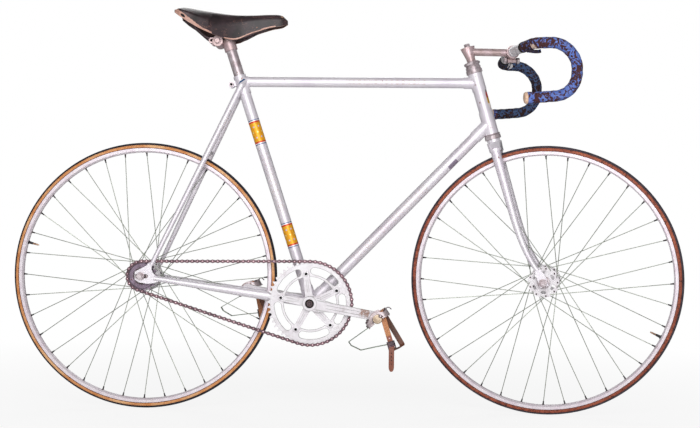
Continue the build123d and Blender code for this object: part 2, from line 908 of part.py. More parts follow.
def crank_cuts(plane):
    face = plane.offset(crank_thickness)
    with BuildSketch(face) as groove:
        with Locations((crank_length * 0.55, 0)):
            SlotOverall(crank_length * 0.6, crank_groove_width)
    extrude(groove.sketch, amount=-crank_groove_depth, mode=Mode.SUBTRACT)
    with BuildSketch(face) as cap:
        Circle(crank_cap_radius)
    extrude(cap.sketch, amount=-crank_cap_depth, mode=Mode.SUBTRACT)
    with BuildSketch(plane) as bores:
        Circle(spindle_radius + running_gap)
        with Locations((crank_length, 0)):
            Circle(pedal_spindle_radius + running_gap)
    extrude(bores.sketch, amount=crank_inner, both=True, mode=Mode.SUBTRACT)


right_arm_plane = crank_plane.offset(crank_inner)
spider_face = chain_line + tooth_thickness / 2 + running_gap
with BuildPart() as crank_right:
    crank_arm(right_arm_plane)
    with BuildSketch(crank_plane.offset(spider_face)) as spider:
        for number in range(ring_arms):
            arm_angle = arm_step * (number + 0.5)
            with Locations(Location((0, 0, 0), (0, 0, arm_angle))):
                with BuildLine(mode=Mode.PRIVATE) as edge:
                    Polyline(
                        (0, spider_arm_root),
                        (bolt_circle_radius, spider_arm_tip),
                        (bolt_circle_radius, -spider_arm_tip),
                        (0, -spider_arm_root),
                        close=True,
                    )
                add(make_face(edge.edges(), mode=Mode.PRIVATE))
        with PolarLocations(bolt_circle_radius, ring_arms, start_angle=arm_step / 2):
            Circle(spider_arm_tip)
    extrude(amount=spider_thickness)
    with BuildSketch(crank_plane.offset(spider_face)):
        Circle(crank_boss_radius)
    extrude(amount=crank_inner - spider_face)
    crank_cuts(right_arm_plane)
write(crank_right, "crank_right")

left_crank_plane = Plane(origin=bracket, x_dir=-unit(crank_angle), z_dir=left)
with BuildPart() as crank_left:
    crank_arm(left_crank_plane.offset(crank_inner))
    crank_cuts(left_crank_plane.offset(crank_inner))
write(crank_left, "crank_left")

bolt_face = crank_inner + crank_thickness - crank_cap_depth
with BuildPart() as bracket_spindle:
    with BuildSketch(crank_plane):
        Circle(spindle_radius)
    extrude(amount=bolt_face + running_gap, both=True)
    for side in (1, -1):
        with BuildSketch(crank_plane.offset(side * (bolt_face + running_gap))):
            RegularPolygon(crank_bolt_radius, 6)
        extrude(amount=side * crank_cap_depth * 0.8)
write(bracket_spindle, "bracket_spindle")

# Pedals
pedal_start = crank_inner + crank_thickness + pedal_clearance
pedal_end = pedal_start + pedal_cage_width
# Each row is a share of the cage's half length in front of it, and of its height above its middle.
clip_shares = [
    (0.0, 0.45),
    (2.01, 0.5),
    (2.01, 1.2),
    (1.57, 2.7),
    (0.45, 3.6),
    (-0.60, 4.5),
]


def flat_run(start, end, across, width, thickness):
    # A straight stretch of strap, as wide as it is along the given direction.
    along = (end - start).normalized()
    wide = (across - along * across.dot(along)).normalized()
    with BuildSketch(Plane(origin=start - along * thickness / 2, x_dir=wide, z_dir=along)) as section:
        Rectangle(width, thickness)
    extrude(section.sketch, amount=(end - start).length + thickness)


def pedal(name, crank, angle):
    # The crank's plane has its normal pointing outwards; the pedal hangs foot side down.
    eye = crank.from_local_coords(Vector(crank_length, 0, 0))
    outward = crank.z_dir
    front = unit(angle)
    upward = unit(angle + 90)
    cage_plane = Plane(origin=eye, x_dir=front, z_dir=upward)
    out_sign = 1 if cage_plane.y_dir.dot(outward) > 0 else -1
    plan = Plane(origin=eye, x_dir=front, z_dir=outward)

    def across(forward, distance):
        return (forward, distance * out_sign)

    def place(forward, up, out):
        return eye + front * forward + upward * up + outward * out

    with BuildPart() as spindle:
        with BuildSketch(plan.offset(crank_inner + seat_gap)):
            Circle(pedal_spindle_radius)
        extrude(amount=pedal_clearance + crank_thickness + pedal_barrel_length - seat_gap * 2)
    write(spindle, f"pedal_spindle_{name}")

    middle = (pedal_start + pedal_end) / 2
    with BuildPart() as cage:
        with BuildSketch(cage_plane) as ring:
            with Locations(across(0, middle)):
                RectangleRounded(pedal_cage_half * 2, pedal_cage_width, pedal_cage_half * 0.45)
                RectangleRounded(
                    (pedal_cage_half - pedal_cage_wall) * 2,
                    pedal_cage_width - pedal_cage_wall * 2,
                    pedal_cage_half * 0.45 - pedal_cage_wall,
                    mode=Mode.SUBTRACT,
                )
            with Locations(across(0, pedal_start + pedal_barrel_length)):
                Rectangle(pedal_cage_half * 2 - pedal_cage_wall, pedal_cage_wall)
        extrude(amount=pedal_cage_height / 2, both=True)
        with BuildSketch(plan.offset(pedal_start)):
            Circle(pedal_barrel_radius)
        extrude(amount=pedal_barrel_length + pedal_cage_wall * 3)
        with BuildSketch(plan.offset(pedal_start - overrun)):
            Circle(pedal_spindle_radius + running_gap)
        extrude(amount=pedal_barrel_length + overrun + running_gap, mode=Mode.SUBTRACT)
    write(cage, f"pedal_{name}")

    reach = pedal_cage_half + clip_thickness / 2 + running_gap
    clip_plane = Plane(origin=eye + outward * (middle - clip_width / 2), x_dir=front, z_dir=front.cross(upward))
    clip_side = 1 if clip_plane.z_dir.dot(outward) > 0 else -1
    with BuildPart() as clip:
        with BuildSketch(clip_plane):
            with BuildLine():
                spine = Polyline(
                    *[(reach + x * pedal_cage_half, y * pedal_cage_height) for x, y in clip_shares]
                )
                offset(spine, amount=clip_thickness / 2)
            make_face()
        extrude(amount=clip_side * clip_width)
    write(clip, f"toe_clip_{name}")

    # The strap runs under the cage behind the barrel. Its outer leg leans forward to the clip, its
    # slack inner leg stands up, and its tail hangs straight down from the buckle.
    rear = -(pedal_barrel_radius + strap_clearance + strap_width / 2)
    below = -(pedal_cage_height + strap_thickness) / 2 - seat_gap
    inner = pedal_start + pedal_cage_wall * 3
    outer = pedal_start + pedal_barrel_length + pedal_cage_wall * 3 + strap_thickness
    lean = strap_top * tan(radians(strap_lean))
    corners = [
        place(rear, below, inner),
        place(rear, below, outer),
        place(rear + lean, strap_top, outer),
        place(rear + strap_width / 2, strap_top + strap_slack, inner + strap_width),
        place(rear, below, inner),
    ]
    buckle = corners[2] - (corners[2] - corners[1]).normalized() * strap_width + outward * strap_thickness
    with BuildPart() as strap:
        for start, end in zip(corners, corners[1:]):
            flat_run(start, end, front, strap_width, strap_thickness)
        flat_run(buckle, corners[2] + outward * strap_thickness, front, buckle_width, strap_thickness * 2)
        tail_start = buckle + outward * strap_thickness
        flat_run(tail_start, tail_start - Vector(0, 0, strap_tail), front, strap_width, strap_thickness)
    write(strap, f"toe_strap_{name}")


pedal("right", crank_plane, right_pedal_angle)
pedal("left", left_crank_plane, left_pedal_angle)

# Headset
with BuildPart() as headset_cups:
    for base, face, height in (
        (head_low, -1, lower_stack * 0.62),
        (head_high, 1, upper_stack * 0.3),
    ):
        turn(
            head_plane,
            [
                (base + face * braze_gap, steerer_radius + seat_gap * 3),
                (base + face * braze_gap, head_tube_radius + cup_wall / 2),
                (base + face * height * 0.4, head_tube_radius + cup_wall),
                (base + face * height, head_tube_radius + cup_wall),
                (base + face * height, steerer_radius + seat_gap * 3),
            ],
        )
write(headset_cups, "headset_cups")

race_low = head_high + upper_stack * 0.3 + seat_gap
with BuildPart() as headset_race:
    turn(
        fork_plane,
        [
            (race_low, steerer_radius + running_gap),
            (race_low, head_tube_radius + cup_wall * 0.6),
            (race_low + upper_stack * 0.25, head_tube_radius + cup_wall * 0.6),
            (race_low + upper_stack * 0.28, head_tube_radius),
            (race_low + upper_stack * 0.38, head_tube_radius),
            (race_low + upper_stack * 0.4, head_tube_radius + cup_wall * 0.4),
            (headset_top - cup_wall / 2, head_tube_radius + cup_wall * 0.4),
            (headset_top, head_tube_radius - cup_wall / 2),
            (headset_top, quill_radius + running_gap),
            (headset_top - cup_wall, quill_radius + running_gap),
            (headset_top - cup_wall, steerer_radius + running_gap),
        ],
    )
write(headset_race, "headset_race")

# Fork
blade_spread = 31.0
blade_top_radius = 12.0
blade_top_half_width = 9.5
blade_end_radius = 6.5
crown_height = 24.0
crown_half_width = 40.0
crown_half_depth = 15.0
crown_top_half_width = 22.0
crown_top_half_depth = 18.0
crown_low = fork_length - crown_height
fork_end_high = 34.0
blade_bend_from = 0.42       # share of the blade's length that is curved

with BuildPart() as steerer:
    with BuildSketch(fork_plane.offset(fork_length - lower_stack * 0.1)):
        Circle(steerer_radius)
    extrude(amount=headset_top - cup_wall - running_gap - fork_length + lower_stack * 0.1)
    with BuildSketch(fork_plane.offset(headset_top - cup_wall)):
        Circle(quill_radius + running_gap)
    extrude(amount=-head_tube_length / 2, mode=Mode.SUBTRACT)
write(steerer, "steerer")

with BuildPart() as fork_crown:
    with BuildSketch(fork_plane.offset(crown_low)) as low_face:
        RectangleRounded(crown_half_depth * 2, crown_half_width * 2, crown_half_depth * 0.9)
    extrude(low_face.sketch, amount=crown_height * 0.3)
    with BuildSketch(fork_plane.offset(crown_low + crown_height * 0.3)) as foot_face:
        RectangleRounded(crown_half_depth * 2, crown_half_width * 2, crown_half_depth * 0.9)
    with BuildSketch(fork_plane.offset(fork_length)) as top_face:
        RectangleRounded(crown_top_half_depth * 2, crown_top_half_width * 2, crown_top_half_depth * 0.9)
    loft([foot_face.sketch, top_face.sketch])
    with BuildSketch(fork_plane.offset(fork_length - crown_height * 0.2)) as collar:
        Circle(head_tube_radius)
    extrude(collar.sketch, amount=crown_height * 0.2 + lower_stack * 0.38 - seat_gap)
    with BuildSketch(fork_plane.offset(fork_length - lower_stack * 0.1)) as steerer_bore:
        Circle(steerer_radius + running_gap)
    extrude(steerer_bore.sketch, amount=head_low, mode=Mode.SUBTRACT)
write(fork_crown, "fork_crown")

blade_foot_spread = front_half_spacing + fork_end_thickness / 2
blade_stations = 5
for side, name in ((-1, "right"), (1, "left")):
    with BuildPart() as fork_blade:
        top = crown_low - braze_gap
        for number in range(blade_stations):
            share = number / (blade_stations - 1)
            height = top + (fork_end_high - top) * share
            bend = max(0, share - 1 + blade_bend_from) / blade_bend_from
            forward = fork_rake * 0.8 * bend ** 2
            spread = blade_spread + (blade_foot_spread - blade_spread) * share
            depth = blade_top_radius + (blade_end_radius - blade_top_radius) * share
            width = blade_top_half_width + (blade_end_radius - blade_top_half_width) * share
            with BuildSketch(fork_plane.offset(height)):
                with Locations((forward, side * spread)):
                    Ellipse(depth, width)
        loft()
        end_plane = Plane(
            origin=on_fork(0, side * blade_foot_spread, 0), x_dir=fork_plane.x_dir, z_dir=fork_plane.y_dir
        )
        with BuildSketch(end_plane):
            with BuildLine():
                # local x is forward, local y is downwards
                Polyline(
                    (fork_rake * 0.8 - blade_end_radius, -fork_end_high - overrun),
                    (fork_rake * 0.8 + blade_end_radius, -fork_end_high - overrun),
                    (fork_rake + locknut_radius * 1.3, -locknut_radius),
                    (fork_rake + locknut_radius * 1.3, locknut_radius * 1.2),
                    (fork_rake - locknut_radius * 1.2, locknut_radius * 1.2),
                    (fork_rake - locknut_radius * 1.3, -locknut_radius),
                    close=True,
                )
            make_face()
            with Locations((fork_rake, 0)):
                Circle(front_axle_radius + seat_gap, mode=Mode.SUBTRACT)
            with Locations((fork_rake, locknut_radius)):
                Rectangle(
                    (front_axle_radius + seat_gap) * 2, locknut_radius * 2, mode=Mode.SUBTRACT
                )
        extrude(amount=fork_end_thickness / 2, both=True)
    write(fork_blade, f"fork_blade_{name}")

# Stem
stem_axis = headset_top + stem_rise
extension_dir = (bar_plane.x_dir - Vector(0, 0, bar_plane.x_dir.Z)).normalized()
stem_origin = on_bars(0, 0, stem_axis)
clamp_centre = stem_origin + extension_dir * stem_extension
bar_left = Vector(0, 0, 1).cross(extension_dir)
with BuildPart() as stem:
    with BuildSketch(bar_plane.offset(headset_top + running_gap - head_tube_length / 3)):
        Circle(quill_radius)
    extrude(amount=head_tube_length / 3 + stem_rise)
    with BuildSketch(bar_plane.offset(headset_top + stem_neck)):
        Circle(quill_radius)
    with BuildSketch(bar_plane.offset(stem_axis + stem_head_height)):
        Ellipse(stem_head_depth, stem_head_width)
    loft()
    with BuildSketch(bar_plane.offset(stem_axis)):
        Circle(stem_bolt_radius)
    extrude(amount=stem_head_height + stem_bolt_height)
    rod(stem_origin, clamp_centre, stem_extension_radius)
    rod(
        clamp_centre - bar_left * clamp_half_width,
        clamp_centre + bar_left * clamp_half_width,
        clamp_radius,
    )
    # The pinch bolt passes fore and aft under the bar.
    bolt_centre = clamp_centre - Vector(0, 0, clamp_radius + clamp_bolt_radius * 0.6)
    rod(
        bolt_centre - extension_dir * clamp_bolt_half,
        bolt_centre + extension_dir * clamp_bolt_half,
        clamp_bolt_radius,
    )
    rod(
        clamp_centre - bar_left * (clamp_half_width + overrun),
        clamp_centre + bar_left * (clamp_half_width + overrun),
        bar_sleeve_radius + running_gap,
        mode=Mode.SUBTRACT,
    )
write(stem, "stem")

# Handlebar: a level top that sweeps forward into a hook on each side
bar_frame = Plane(origin=clamp_centre, x_dir=extension_dir, z_dir=(0, 0, 1))
hook_front = bar_reach
hook_low = -hook_radius * 2


def bar_point(forward, sideways, up):
    return bar_frame.from_local_coords(Vector(forward, sideways, up))


def bar_side(side):
    # Corners of one side from the middle outwards, with a fillet radius for each bend.
    half = side * bar_half_width
    return [
        bar_point(0, side * sleeve_end * 0.4, 0),
        bar_point(0, side * sleeve_end * 1.2, 0),
        bar_point(hook_radius * 0.25, half, -tape_radius * 0.3),
        bar_point(hook_front, half, -tape_radius * 0.3),
        bar_point(hook_front, half, hook_low),
        bar_point(hook_front - hook_radius - bar_tail, half, hook_low - tape_radius * 0.7),
    ]


bar_radii = [bar_half_width * 0.35, hook_radius * 0.7, hook_radius * 0.985, hook_radius * 0.9]
for side, name in ((-1, "right"), (1, "left")):
    corners = bar_side(side)
    with BuildPart() as tube:
        with BuildLine() as bar_line:
            FilletPolyline(*corners, radius=bar_radii)
        with BuildSketch(Plane(origin=corners[0], z_dir=corners[1] - corners[0])):
            Circle(bar_radius)
        sweep(path=bar_line.line)
    with BuildPart() as bar_tape:
        with BuildLine() as bar_line:
            FilletPolyline(*corners, radius=bar_radii)
        with BuildSketch(Plane(origin=corners[0], z_dir=corners[1] - corners[0])):
            Circle(tape_radius)
            Circle(bar_radius + running_gap * 3, mode=Mode.SUBTRACT)
        sweep(path=bar_line.line)
        rod(clamp_centre, bar_point(0, side * tape_start, 0), tape_radius * 2, mode=Mode.SUBTRACT)
    write(bar_tape, f"bar_tape_{name}")
    if side == -1:
        right_tube = tube
    else:
        left_tube = tube

with BuildPart() as handlebar:
    add(right_tube.part)
    add(left_tube.part)
    rod(
        clamp_centre - bar_left * sleeve_end,
        clamp_centre + bar_left * sleeve_end,
        bar_sleeve_radius,
    )
write(handlebar, "handlebar")

with BuildPart() as bar_plugs:
    for side in (1, -1):
        corners = bar_side(side)
        along = (corners[-1] - corners[-2]).normalized()
        rod(
            corners[-1] + along * running_gap,
            corners[-1] + along * plug_length,
            tape_radius,
            tape_radius * 0.85,
        )
write(bar_plugs, "bar_plugs")

# Saddle leather. Each section is an arch: place along the saddle, half width, top, edge.
# Places are shares of the saddle's length, from its rear end, and heights from the sit point.
sit_share = 0.2852
saddle_rear = -sit_share * saddle_length
saddle_sections = [
    (0.035, 0.21, -0.004, -0.045),
    (0.10, 0.27, 0.022, -0.095),
    (0.28, 0.235, -0.002, -0.195),
    (0.53, 0.125, -0.032, -0.265),
    (0.70, 0.080, -0.034, -0.200),
    (0.86, 0.070, -0.028, -0.150),
    (0.95, 0.058, -0.036, -0.135),
    (1.00, 0.032, -0.078, -0.112),
]


def arch(row, inset, drop):
    share, half_share, top_share, edge_share = row
    x = saddle_rear + share * saddle_length
    half = half_share * saddle_length - inset
    top = top_share * saddle_length - inset
    edge = edge_share * saddle_length - drop
    shoulder = top - (top - edge) * 0.45 if half > (top - edge) else top - half * 0.75
    with BuildSketch(Plane(origin=(x, 0, 0), x_dir=(0, 1, 0), z_dir=(1, 0, 0))) as section:
        with BuildLine():
            Line((-half, edge), (-half * 0.96, shoulder))
            ThreePointArc((-half * 0.96, shoulder), (0, top), (half * 0.96, shoulder))
            Line((half * 0.96, shoulder), (half, edge))
            Line((half, edge), (-half, edge))
        make_face()
    return section.sketch


with BuildPart() as saddle_top:
    loft([arch(row, 0, 0) for row in saddle_sections])
    loft([arch(row, saddle_leather, overrun) for row in saddle_sections[:-2]], mode=Mode.SUBTRACT)
write(saddle_top, "saddle_top")

# The frame under the leather: two rails, welded to a nose piece and to a rear arch
rail_spread_share = 0.0775
cantle_row = (0.060, 0.225, 0.002, -0.065)
cantle_length = 9.0
cantle_thickness = 3.0
rail_spread = saddle_length * rail_spread_share
nose_block = 14.0
# Each row is a share of the saddle's length, a height share, and a share of the rails' spread.
rail_shares = [(0.80, -0.15, 0.3), (0.62, -0.235, 0.85), (0.30, -0.245, 1.0), (0.075, -0.050, 2.35)]
with BuildPart() as saddle_frame:
    for side in (1, -1):
        points = [
            Vector(saddle_rear + x * saddle_length, side * spread * rail_spread, z * saddle_length)
            for x, z, spread in rail_shares
        ]
        with BuildLine() as rail_line:
            FilletPolyline(*points, radius=rail_spread)
        with BuildSketch(Plane(origin=points[0], z_dir=points[1] - points[0])):
            Circle(rail_radius)
        sweep(path=rail_line.line)
    under = saddle_leather + seat_gap
    band = extrude(arch(cantle_row, under, 0), amount=cantle_length, mode=Mode.PRIVATE)
    inside = extrude(arch(cantle_row, under + cantle_thickness, overrun), amount=cantle_length, mode=Mode.PRIVATE)
    add(band - inside)
    nose_at = points[0]
    with Locations(Vector(nose_at.X, 0, nose_at.Z)):
        Box(nose_block, nose_block, rail_radius * 2)
write(saddle_frame, "saddle_frame")

# The clamp's bolt passes under the rails, behind the top of the post.
post_clamp_ahead = 0.94      # of where the seat tube's line reaches the sit point's height
post_clamp_radius = 13.0
post_clamp_bolt = 4.0
post_sleeve_wall = 3.0
post_sleeve_length = 26.0
front_share, back_share = rail_shares[1], rail_shares[2]
clamp_x = bracket.X + seat_dir.X / seat_dir.Z * sit_height + post_clamp_ahead
clamp_share = ((clamp_x - saddle_rear) / saddle_length - back_share[0]) / (front_share[0] - back_share[0])
rail_z = (back_share[1] + (front_share[1] - back_share[1]) * clamp_share) * saddle_length
clamp_at = Vector(clamp_x, 0, rail_z - rail_radius - post_clamp_bolt - seat_gap * 3)
# Seatpost
post_over_clamp = 4.2        # the post's top above the middle of the clamp
post_top = (sit_height + clamp_at.Z + post_over_clamp) / seat_dir.Z
with BuildPart() as seatpost:
    rod(
        bracket + seat_dir * (seat_tube_top - seatpost_depth + seat_gap),
        bracket + seat_dir * post_top,
        seatpost_radius,
    )
write(seatpost, "seatpost")

with BuildPart() as saddle_clamp:
    rod(
        clamp_at - left * (rail_spread + post_clamp_bolt * 1.6),
        clamp_at + left * (rail_spread + post_clamp_bolt * 1.6),
        post_clamp_radius,
    )
    rod(
        clamp_at - left * (rail_spread + post_clamp_radius),
        clamp_at + left * (rail_spread + post_clamp_radius),
        post_clamp_bolt,
    )
    rod(
        bracket + seat_dir * (post_top - post_sleeve_length),
        bracket + seat_dir * (post_top + post_sleeve_wall),
        seatpost_radius + post_sleeve_wall,
    )
    rod(
        bracket + seat_dir * (post_top - seatpost_depth),
        bracket + seat_dir * post_top,
        seatpost_radius + braze_gap,
        mode=Mode.SUBTRACT,
    )
    for side in (1, -1):
        ends = [
            Vector(saddle_rear + x * saddle_length, side * spread * rail_spread, z * saddle_length)
            for x, z, spread in (front_share, back_share)
        ]
        rod(ends[0], ends[1], rail_radius + braze_gap, mode=Mode.SUBTRACT)
write(saddle_clamp, "saddle_clamp")
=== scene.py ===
# %% [markdown]
# # A track bicycle, dressed around its CAD model
# The CAD model gives every tube, wheel and joint its real size and place. This lesson adds
# what the eye reads as a used racing bicycle: worn silver enamel, alloy that has lost its
# shine, cloth tape, old leather, tan and dark tyres, and the small fittings.
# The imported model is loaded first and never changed. New pieces are built in the same frame
# and in metres, so they need no fitting.

from math import asin, atan2, cos, pi, radians, sin, sqrt, tan

import bmesh
import bpy
from mathutils import Matrix, Vector


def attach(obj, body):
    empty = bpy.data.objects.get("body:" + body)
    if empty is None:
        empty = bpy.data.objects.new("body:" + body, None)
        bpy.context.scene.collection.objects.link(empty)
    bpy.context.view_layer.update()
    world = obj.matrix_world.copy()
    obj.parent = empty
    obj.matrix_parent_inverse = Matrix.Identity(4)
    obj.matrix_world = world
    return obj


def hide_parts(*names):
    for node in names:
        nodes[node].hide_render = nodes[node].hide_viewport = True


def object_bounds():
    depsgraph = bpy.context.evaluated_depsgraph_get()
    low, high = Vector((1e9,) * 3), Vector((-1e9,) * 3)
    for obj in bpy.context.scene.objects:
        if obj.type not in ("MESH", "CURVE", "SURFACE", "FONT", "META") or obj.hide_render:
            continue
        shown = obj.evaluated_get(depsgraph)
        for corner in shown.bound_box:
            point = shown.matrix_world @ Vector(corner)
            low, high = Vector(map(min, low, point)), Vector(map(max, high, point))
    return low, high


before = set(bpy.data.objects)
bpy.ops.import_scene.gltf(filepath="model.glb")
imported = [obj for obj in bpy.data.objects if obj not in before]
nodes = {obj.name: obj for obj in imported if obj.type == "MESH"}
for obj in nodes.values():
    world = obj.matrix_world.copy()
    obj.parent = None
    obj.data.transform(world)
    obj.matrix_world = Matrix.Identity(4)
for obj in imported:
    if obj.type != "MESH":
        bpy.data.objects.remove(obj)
cad_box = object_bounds()
scene = bpy.context.scene
MM = 0.001
print("CAD nodes:", len(nodes))

# %% [markdown]
# The camera stands level with the bracket, three metres to the right of the bicycle, as in
# the photograph. Its place and its small turns were solved from the wheel axles, the bracket
# and the ends of the bar, so only these few numbers are needed. A lens shift moves the frame
# up without tilting the camera, which keeps upright lines upright.

# %% Camera
CAMERA_AT = (0.4757, -3.0092, -0.5529)
yaw, pitch, roll = radians(-2.81), radians(-0.80), radians(0.70)
camera_data = bpy.data.cameras.new("photo_camera")
camera_data.lens, camera_data.sensor_width = 62.1, 36
camera_data.shift_x, camera_data.shift_y = 0.0214, 0.0529
camera = bpy.data.objects.new("photo_camera", camera_data)
scene.collection.objects.link(camera)
ahead = Vector((sin(yaw) * cos(pitch), cos(yaw) * cos(pitch), sin(pitch)))
flat_right = Vector((cos(yaw), -sin(yaw), 0))
flat_up = flat_right.cross(ahead)
camera_right = flat_right * cos(roll) + flat_up * sin(roll)
camera_up = flat_up * cos(roll) - flat_right * sin(roll)
camera.matrix_world = Matrix.Translation(CAMERA_AT) @ Matrix(
    (camera_right, camera_up, -ahead)).transposed().to_4x4()
scene.camera = camera
print("camera looks along", [round(v, 3) for v in ahead])

# %% [markdown]
# A shader tree is easier to read when each node is one line. `Tree` adds nodes and sets their
# inputs by name, with a number, a colour or another node's output. Such an output is a
# `Value`, and a sum or product with it becomes a maths node. `colour` turns the familiar 0 to
# 255 values into the linear numbers that a shader needs.

# %% Shader helpers
def colour(red, green, blue):
    shares = [value / 255 for value in (red, green, blue)]
    return (*(s / 12.92 if s <= 0.04045 else ((s + 0.055) / 1.055) ** 2.4 for s in shares), 1)


class Value:
    """An output of a node, which sums, products and the like turn into maths nodes."""

    def __init__(self, tree, socket):
        self.tree, self.socket = tree, socket

    def maths(self, operation, *others):
        return self.tree.maths(operation, self, *others)

    def __add__(self, other):
        return self.maths("ADD", other)

    def __sub__(self, other):
        return self.maths("SUBTRACT", other)

    def __rsub__(self, other):
        return self.tree.maths("SUBTRACT", other, self)

    def __mul__(self, other):
        return self.maths("MULTIPLY", other)

    def __truediv__(self, other):
        return self.maths("DIVIDE", other)

    def __abs__(self):
        return self.maths("ABSOLUTE")

    __radd__, __rmul__ = __add__, __mul__


class Tree:
    """A shader tree in which each node is one line."""

    def __init__(self, tree):
        self.tree = tree
        tree.nodes.clear()

    def feed(self, socket, value):
        if isinstance(value, Value):
            self.tree.links.new(value.socket, socket)
        else:
            socket.default_value = value

    def put(self, kind, inputs=None, **options):
        node = self.tree.nodes.new(kind)
        for option, value in options.items():
            setattr(node, option, value)
        for name, value in (inputs or {}).items():
            self.feed(node.inputs[name], value)
        return node

    def get(self, kind, inputs=None, output=0, **options):
        return Value(self, self.put(kind, inputs, **options).outputs[output])

    def use(self, group, **inputs):
        """Places a node group and hands back its outputs by name."""
        node = self.put("ShaderNodeGroup", inputs, node_tree=group)
        return {socket.name: Value(self, socket) for socket in node.outputs}

    def maths(self, operation, *values, clamp=False):
        return self.get("ShaderNodeMath", dict(enumerate(values)), operation=operation, use_clamp=clamp)

    def vector(self, operation, first, second, output=0):
        return self.get("ShaderNodeVectorMath", {0: first, 1: second}, output, operation=operation)

    def blend(self, share, first, second):
        return self.get("ShaderNodeMix", {0: share, 6: first, 7: second}, 2, data_type="RGBA")

    def ramp(self, value, low, high, to_low=0.0, to_high=1.0):
        return self.get("ShaderNodeMapRange", {
            "Value": value, "From Min": low, "From Max": high, "To Min": to_low, "To Max": to_high})

    def noise(self, place, scale, detail=3.0, roughness=0.55, distortion=0.0):
        return self.get("ShaderNodeTexNoise", {
            "Vector": place, "Scale": scale, "Detail": detail, "Roughness": roughness,
            "Distortion": distortion}, "Fac")


def distance(first, second):
    return (first * first + second * second).maths("SQRT")


def strongest(first, *others):
    for other in others:
        first = first.maths("MAXIMUM", other)
    return first

# %% [markdown]
# ## Light, floor and background
# The photograph has a white ground, and the tubes are bright in the middle and dark along
# both edges. That comes from one broad soft light beside the camera and little light from
# elsewhere. So the world gives weak light to the object and is white only to the camera.

# %% World
WHITE = (1, 1, 1, 1)
AMBIENT = 0.10


def seen_directly(tree):
    path = tree.put("ShaderNodeLightPath").outputs
    return strongest(Value(tree, path["Is Camera Ray"]), Value(tree, path["Is Transmission Ray"]))


world = bpy.data.worlds.new("pale_studio")
scene.world = world
world.use_nodes = True
sky = Tree(world.node_tree)
soft = sky.get("ShaderNodeBackground", {"Color": (0.97, 0.98, 1, 1), "Strength": AMBIENT})
white = sky.get("ShaderNodeBackground", {"Color": WHITE, "Strength": 1.0})
choice = sky.get("ShaderNodeMixShader", {0: seen_directly(sky), 1: soft, 2: white})
sky.put("ShaderNodeOutputWorld", {"Surface": choice})
print("ambient light:", AMBIENT)

# %% [markdown]
# The floor is treated alike: it is plain white to the eye far off, and near the wheels a
# share of real shading stays in it so that the tyres cast a soft shadow.

# %% Floor
FLOOR, SINK = 14.0, 0.0005
GLOW_NEAR, GLOW_FAR = 0.86, 1.0
floor_height = cad_box[0].z
floor_mesh = bpy.data.meshes.new("floor")
corners = ((-1, -1), (1, -1), (1, 1), (-1, 1))
floor_mesh.from_pydata([(x * FLOOR, y * FLOOR, floor_height - SINK) for x, y in corners], [], [(0, 1, 2, 3)])
floor = bpy.data.objects.new("floor", floor_mesh)
scene.collection.objects.link(floor)
floor_paint = bpy.data.materials.new("pale_floor")
floor_paint.use_nodes = True
tree = Tree(floor_paint.node_tree)
matt = tree.get("ShaderNodeBsdfDiffuse", {"Color": (0.9, 0.9, 0.9, 1)})
glow = tree.get("ShaderNodeEmission", {"Color": WHITE, "Strength": 1.0})
floor_place = tree.get("ShaderNodeTexCoord", output="Object")
from_middle = tree.vector("DISTANCE", floor_place, (0.35, 0, floor_height), "Value")
share = seen_directly(tree) * tree.ramp(from_middle, 0.5, 2.2, GLOW_NEAR, GLOW_FAR)
mixed = tree.get("ShaderNodeMixShader", {0: share, 1: matt, 2: glow})
tree.put("ShaderNodeOutputMaterial", {"Surface": mixed})
floor_mesh.materials.append(floor_paint)
print("floor at", round(floor_height, 4))

# %% [markdown]
# Three round lamps are enough. The large key stands near the camera and makes the bright line
# down each tube, a small fill lights the front, and one behind keeps the far side readable.

# %% Lamps
MIDDLE = Vector((0.35, 0, -0.5))
for name, place, towards, size, power in (
        ("key", (0.1, -3.6, 0.5), MIDDLE, 3.0, 96),
        ("fill", (1.3, -3.3, -0.3), MIDDLE + Vector((0.1, 0, 0)), 2.0, 20),
        ("back", (0.4, 3.2, 1.6), MIDDLE, 2.4, 40)):
    data = bpy.data.lights.new(name, "AREA")
    data.shape, data.size, data.energy = "DISK", size, power
    thing = bpy.data.objects.new(name, data)
    thing.location = place
    thing.rotation_euler = (towards - Vector(place)).to_track_quat("-Z", "Y").to_euler()
    scene.collection.objects.link(thing)
    print("lamp:", name, power, "W")

# %% [markdown]
# ## Effects that several finishes share
# Wear, dirt and grain are the same few processes on every part of a bicycle, so each is one
# shader group. A material places the group and gives it its own scale and strength. Object
# coordinates are used throughout: every mesh here lies in the bicycle's own frame, so one
# unit is a metre, and a pattern doesn't slide when a wheel turns. `effect` starts a group
# from its named inputs, and the function that it hands back ends it with named outputs.

# %% Mottle: slow change of tone over a surface
def effect(name, **inputs):
    group = bpy.data.node_groups.new(name, "ShaderNodeTree")
    for label, value in inputs.items():
        kind = "Float" if isinstance(value, float) else "Color" if value and len(value) == 4 else "Vector"
        socket = group.interface.new_socket(name=label, in_out="INPUT", socket_type=f"NodeSocket{kind}")
        if value is not None:
            socket.default_value = value
    tree = Tree(group)
    given = {socket.name: Value(tree, socket) for socket in tree.put("NodeGroupInput").outputs}

    def end(**outputs):
        for label in outputs:
            kind = "Color" if label == "Colour" else "Float"
            group.interface.new_socket(name=label, in_out="OUTPUT", socket_type=f"NodeSocket{kind}")
        tree.put("NodeGroupOutput", outputs)
        print("effect:", name)
        return group

    return tree, given, end


tree, given, end = effect("mottle", Place=None, Scale=20.0, First=(0.5, 0.5, 0.5, 1), Second=(0.6, 0.6, 0.6, 1),
                          Low=0.35, High=0.65)
share = tree.ramp(tree.noise(given["Place"], given["Scale"], detail=4.0), given["Low"], given["High"])
mottle = end(Colour=tree.blend(share, given["First"], given["Second"]), Share=share)

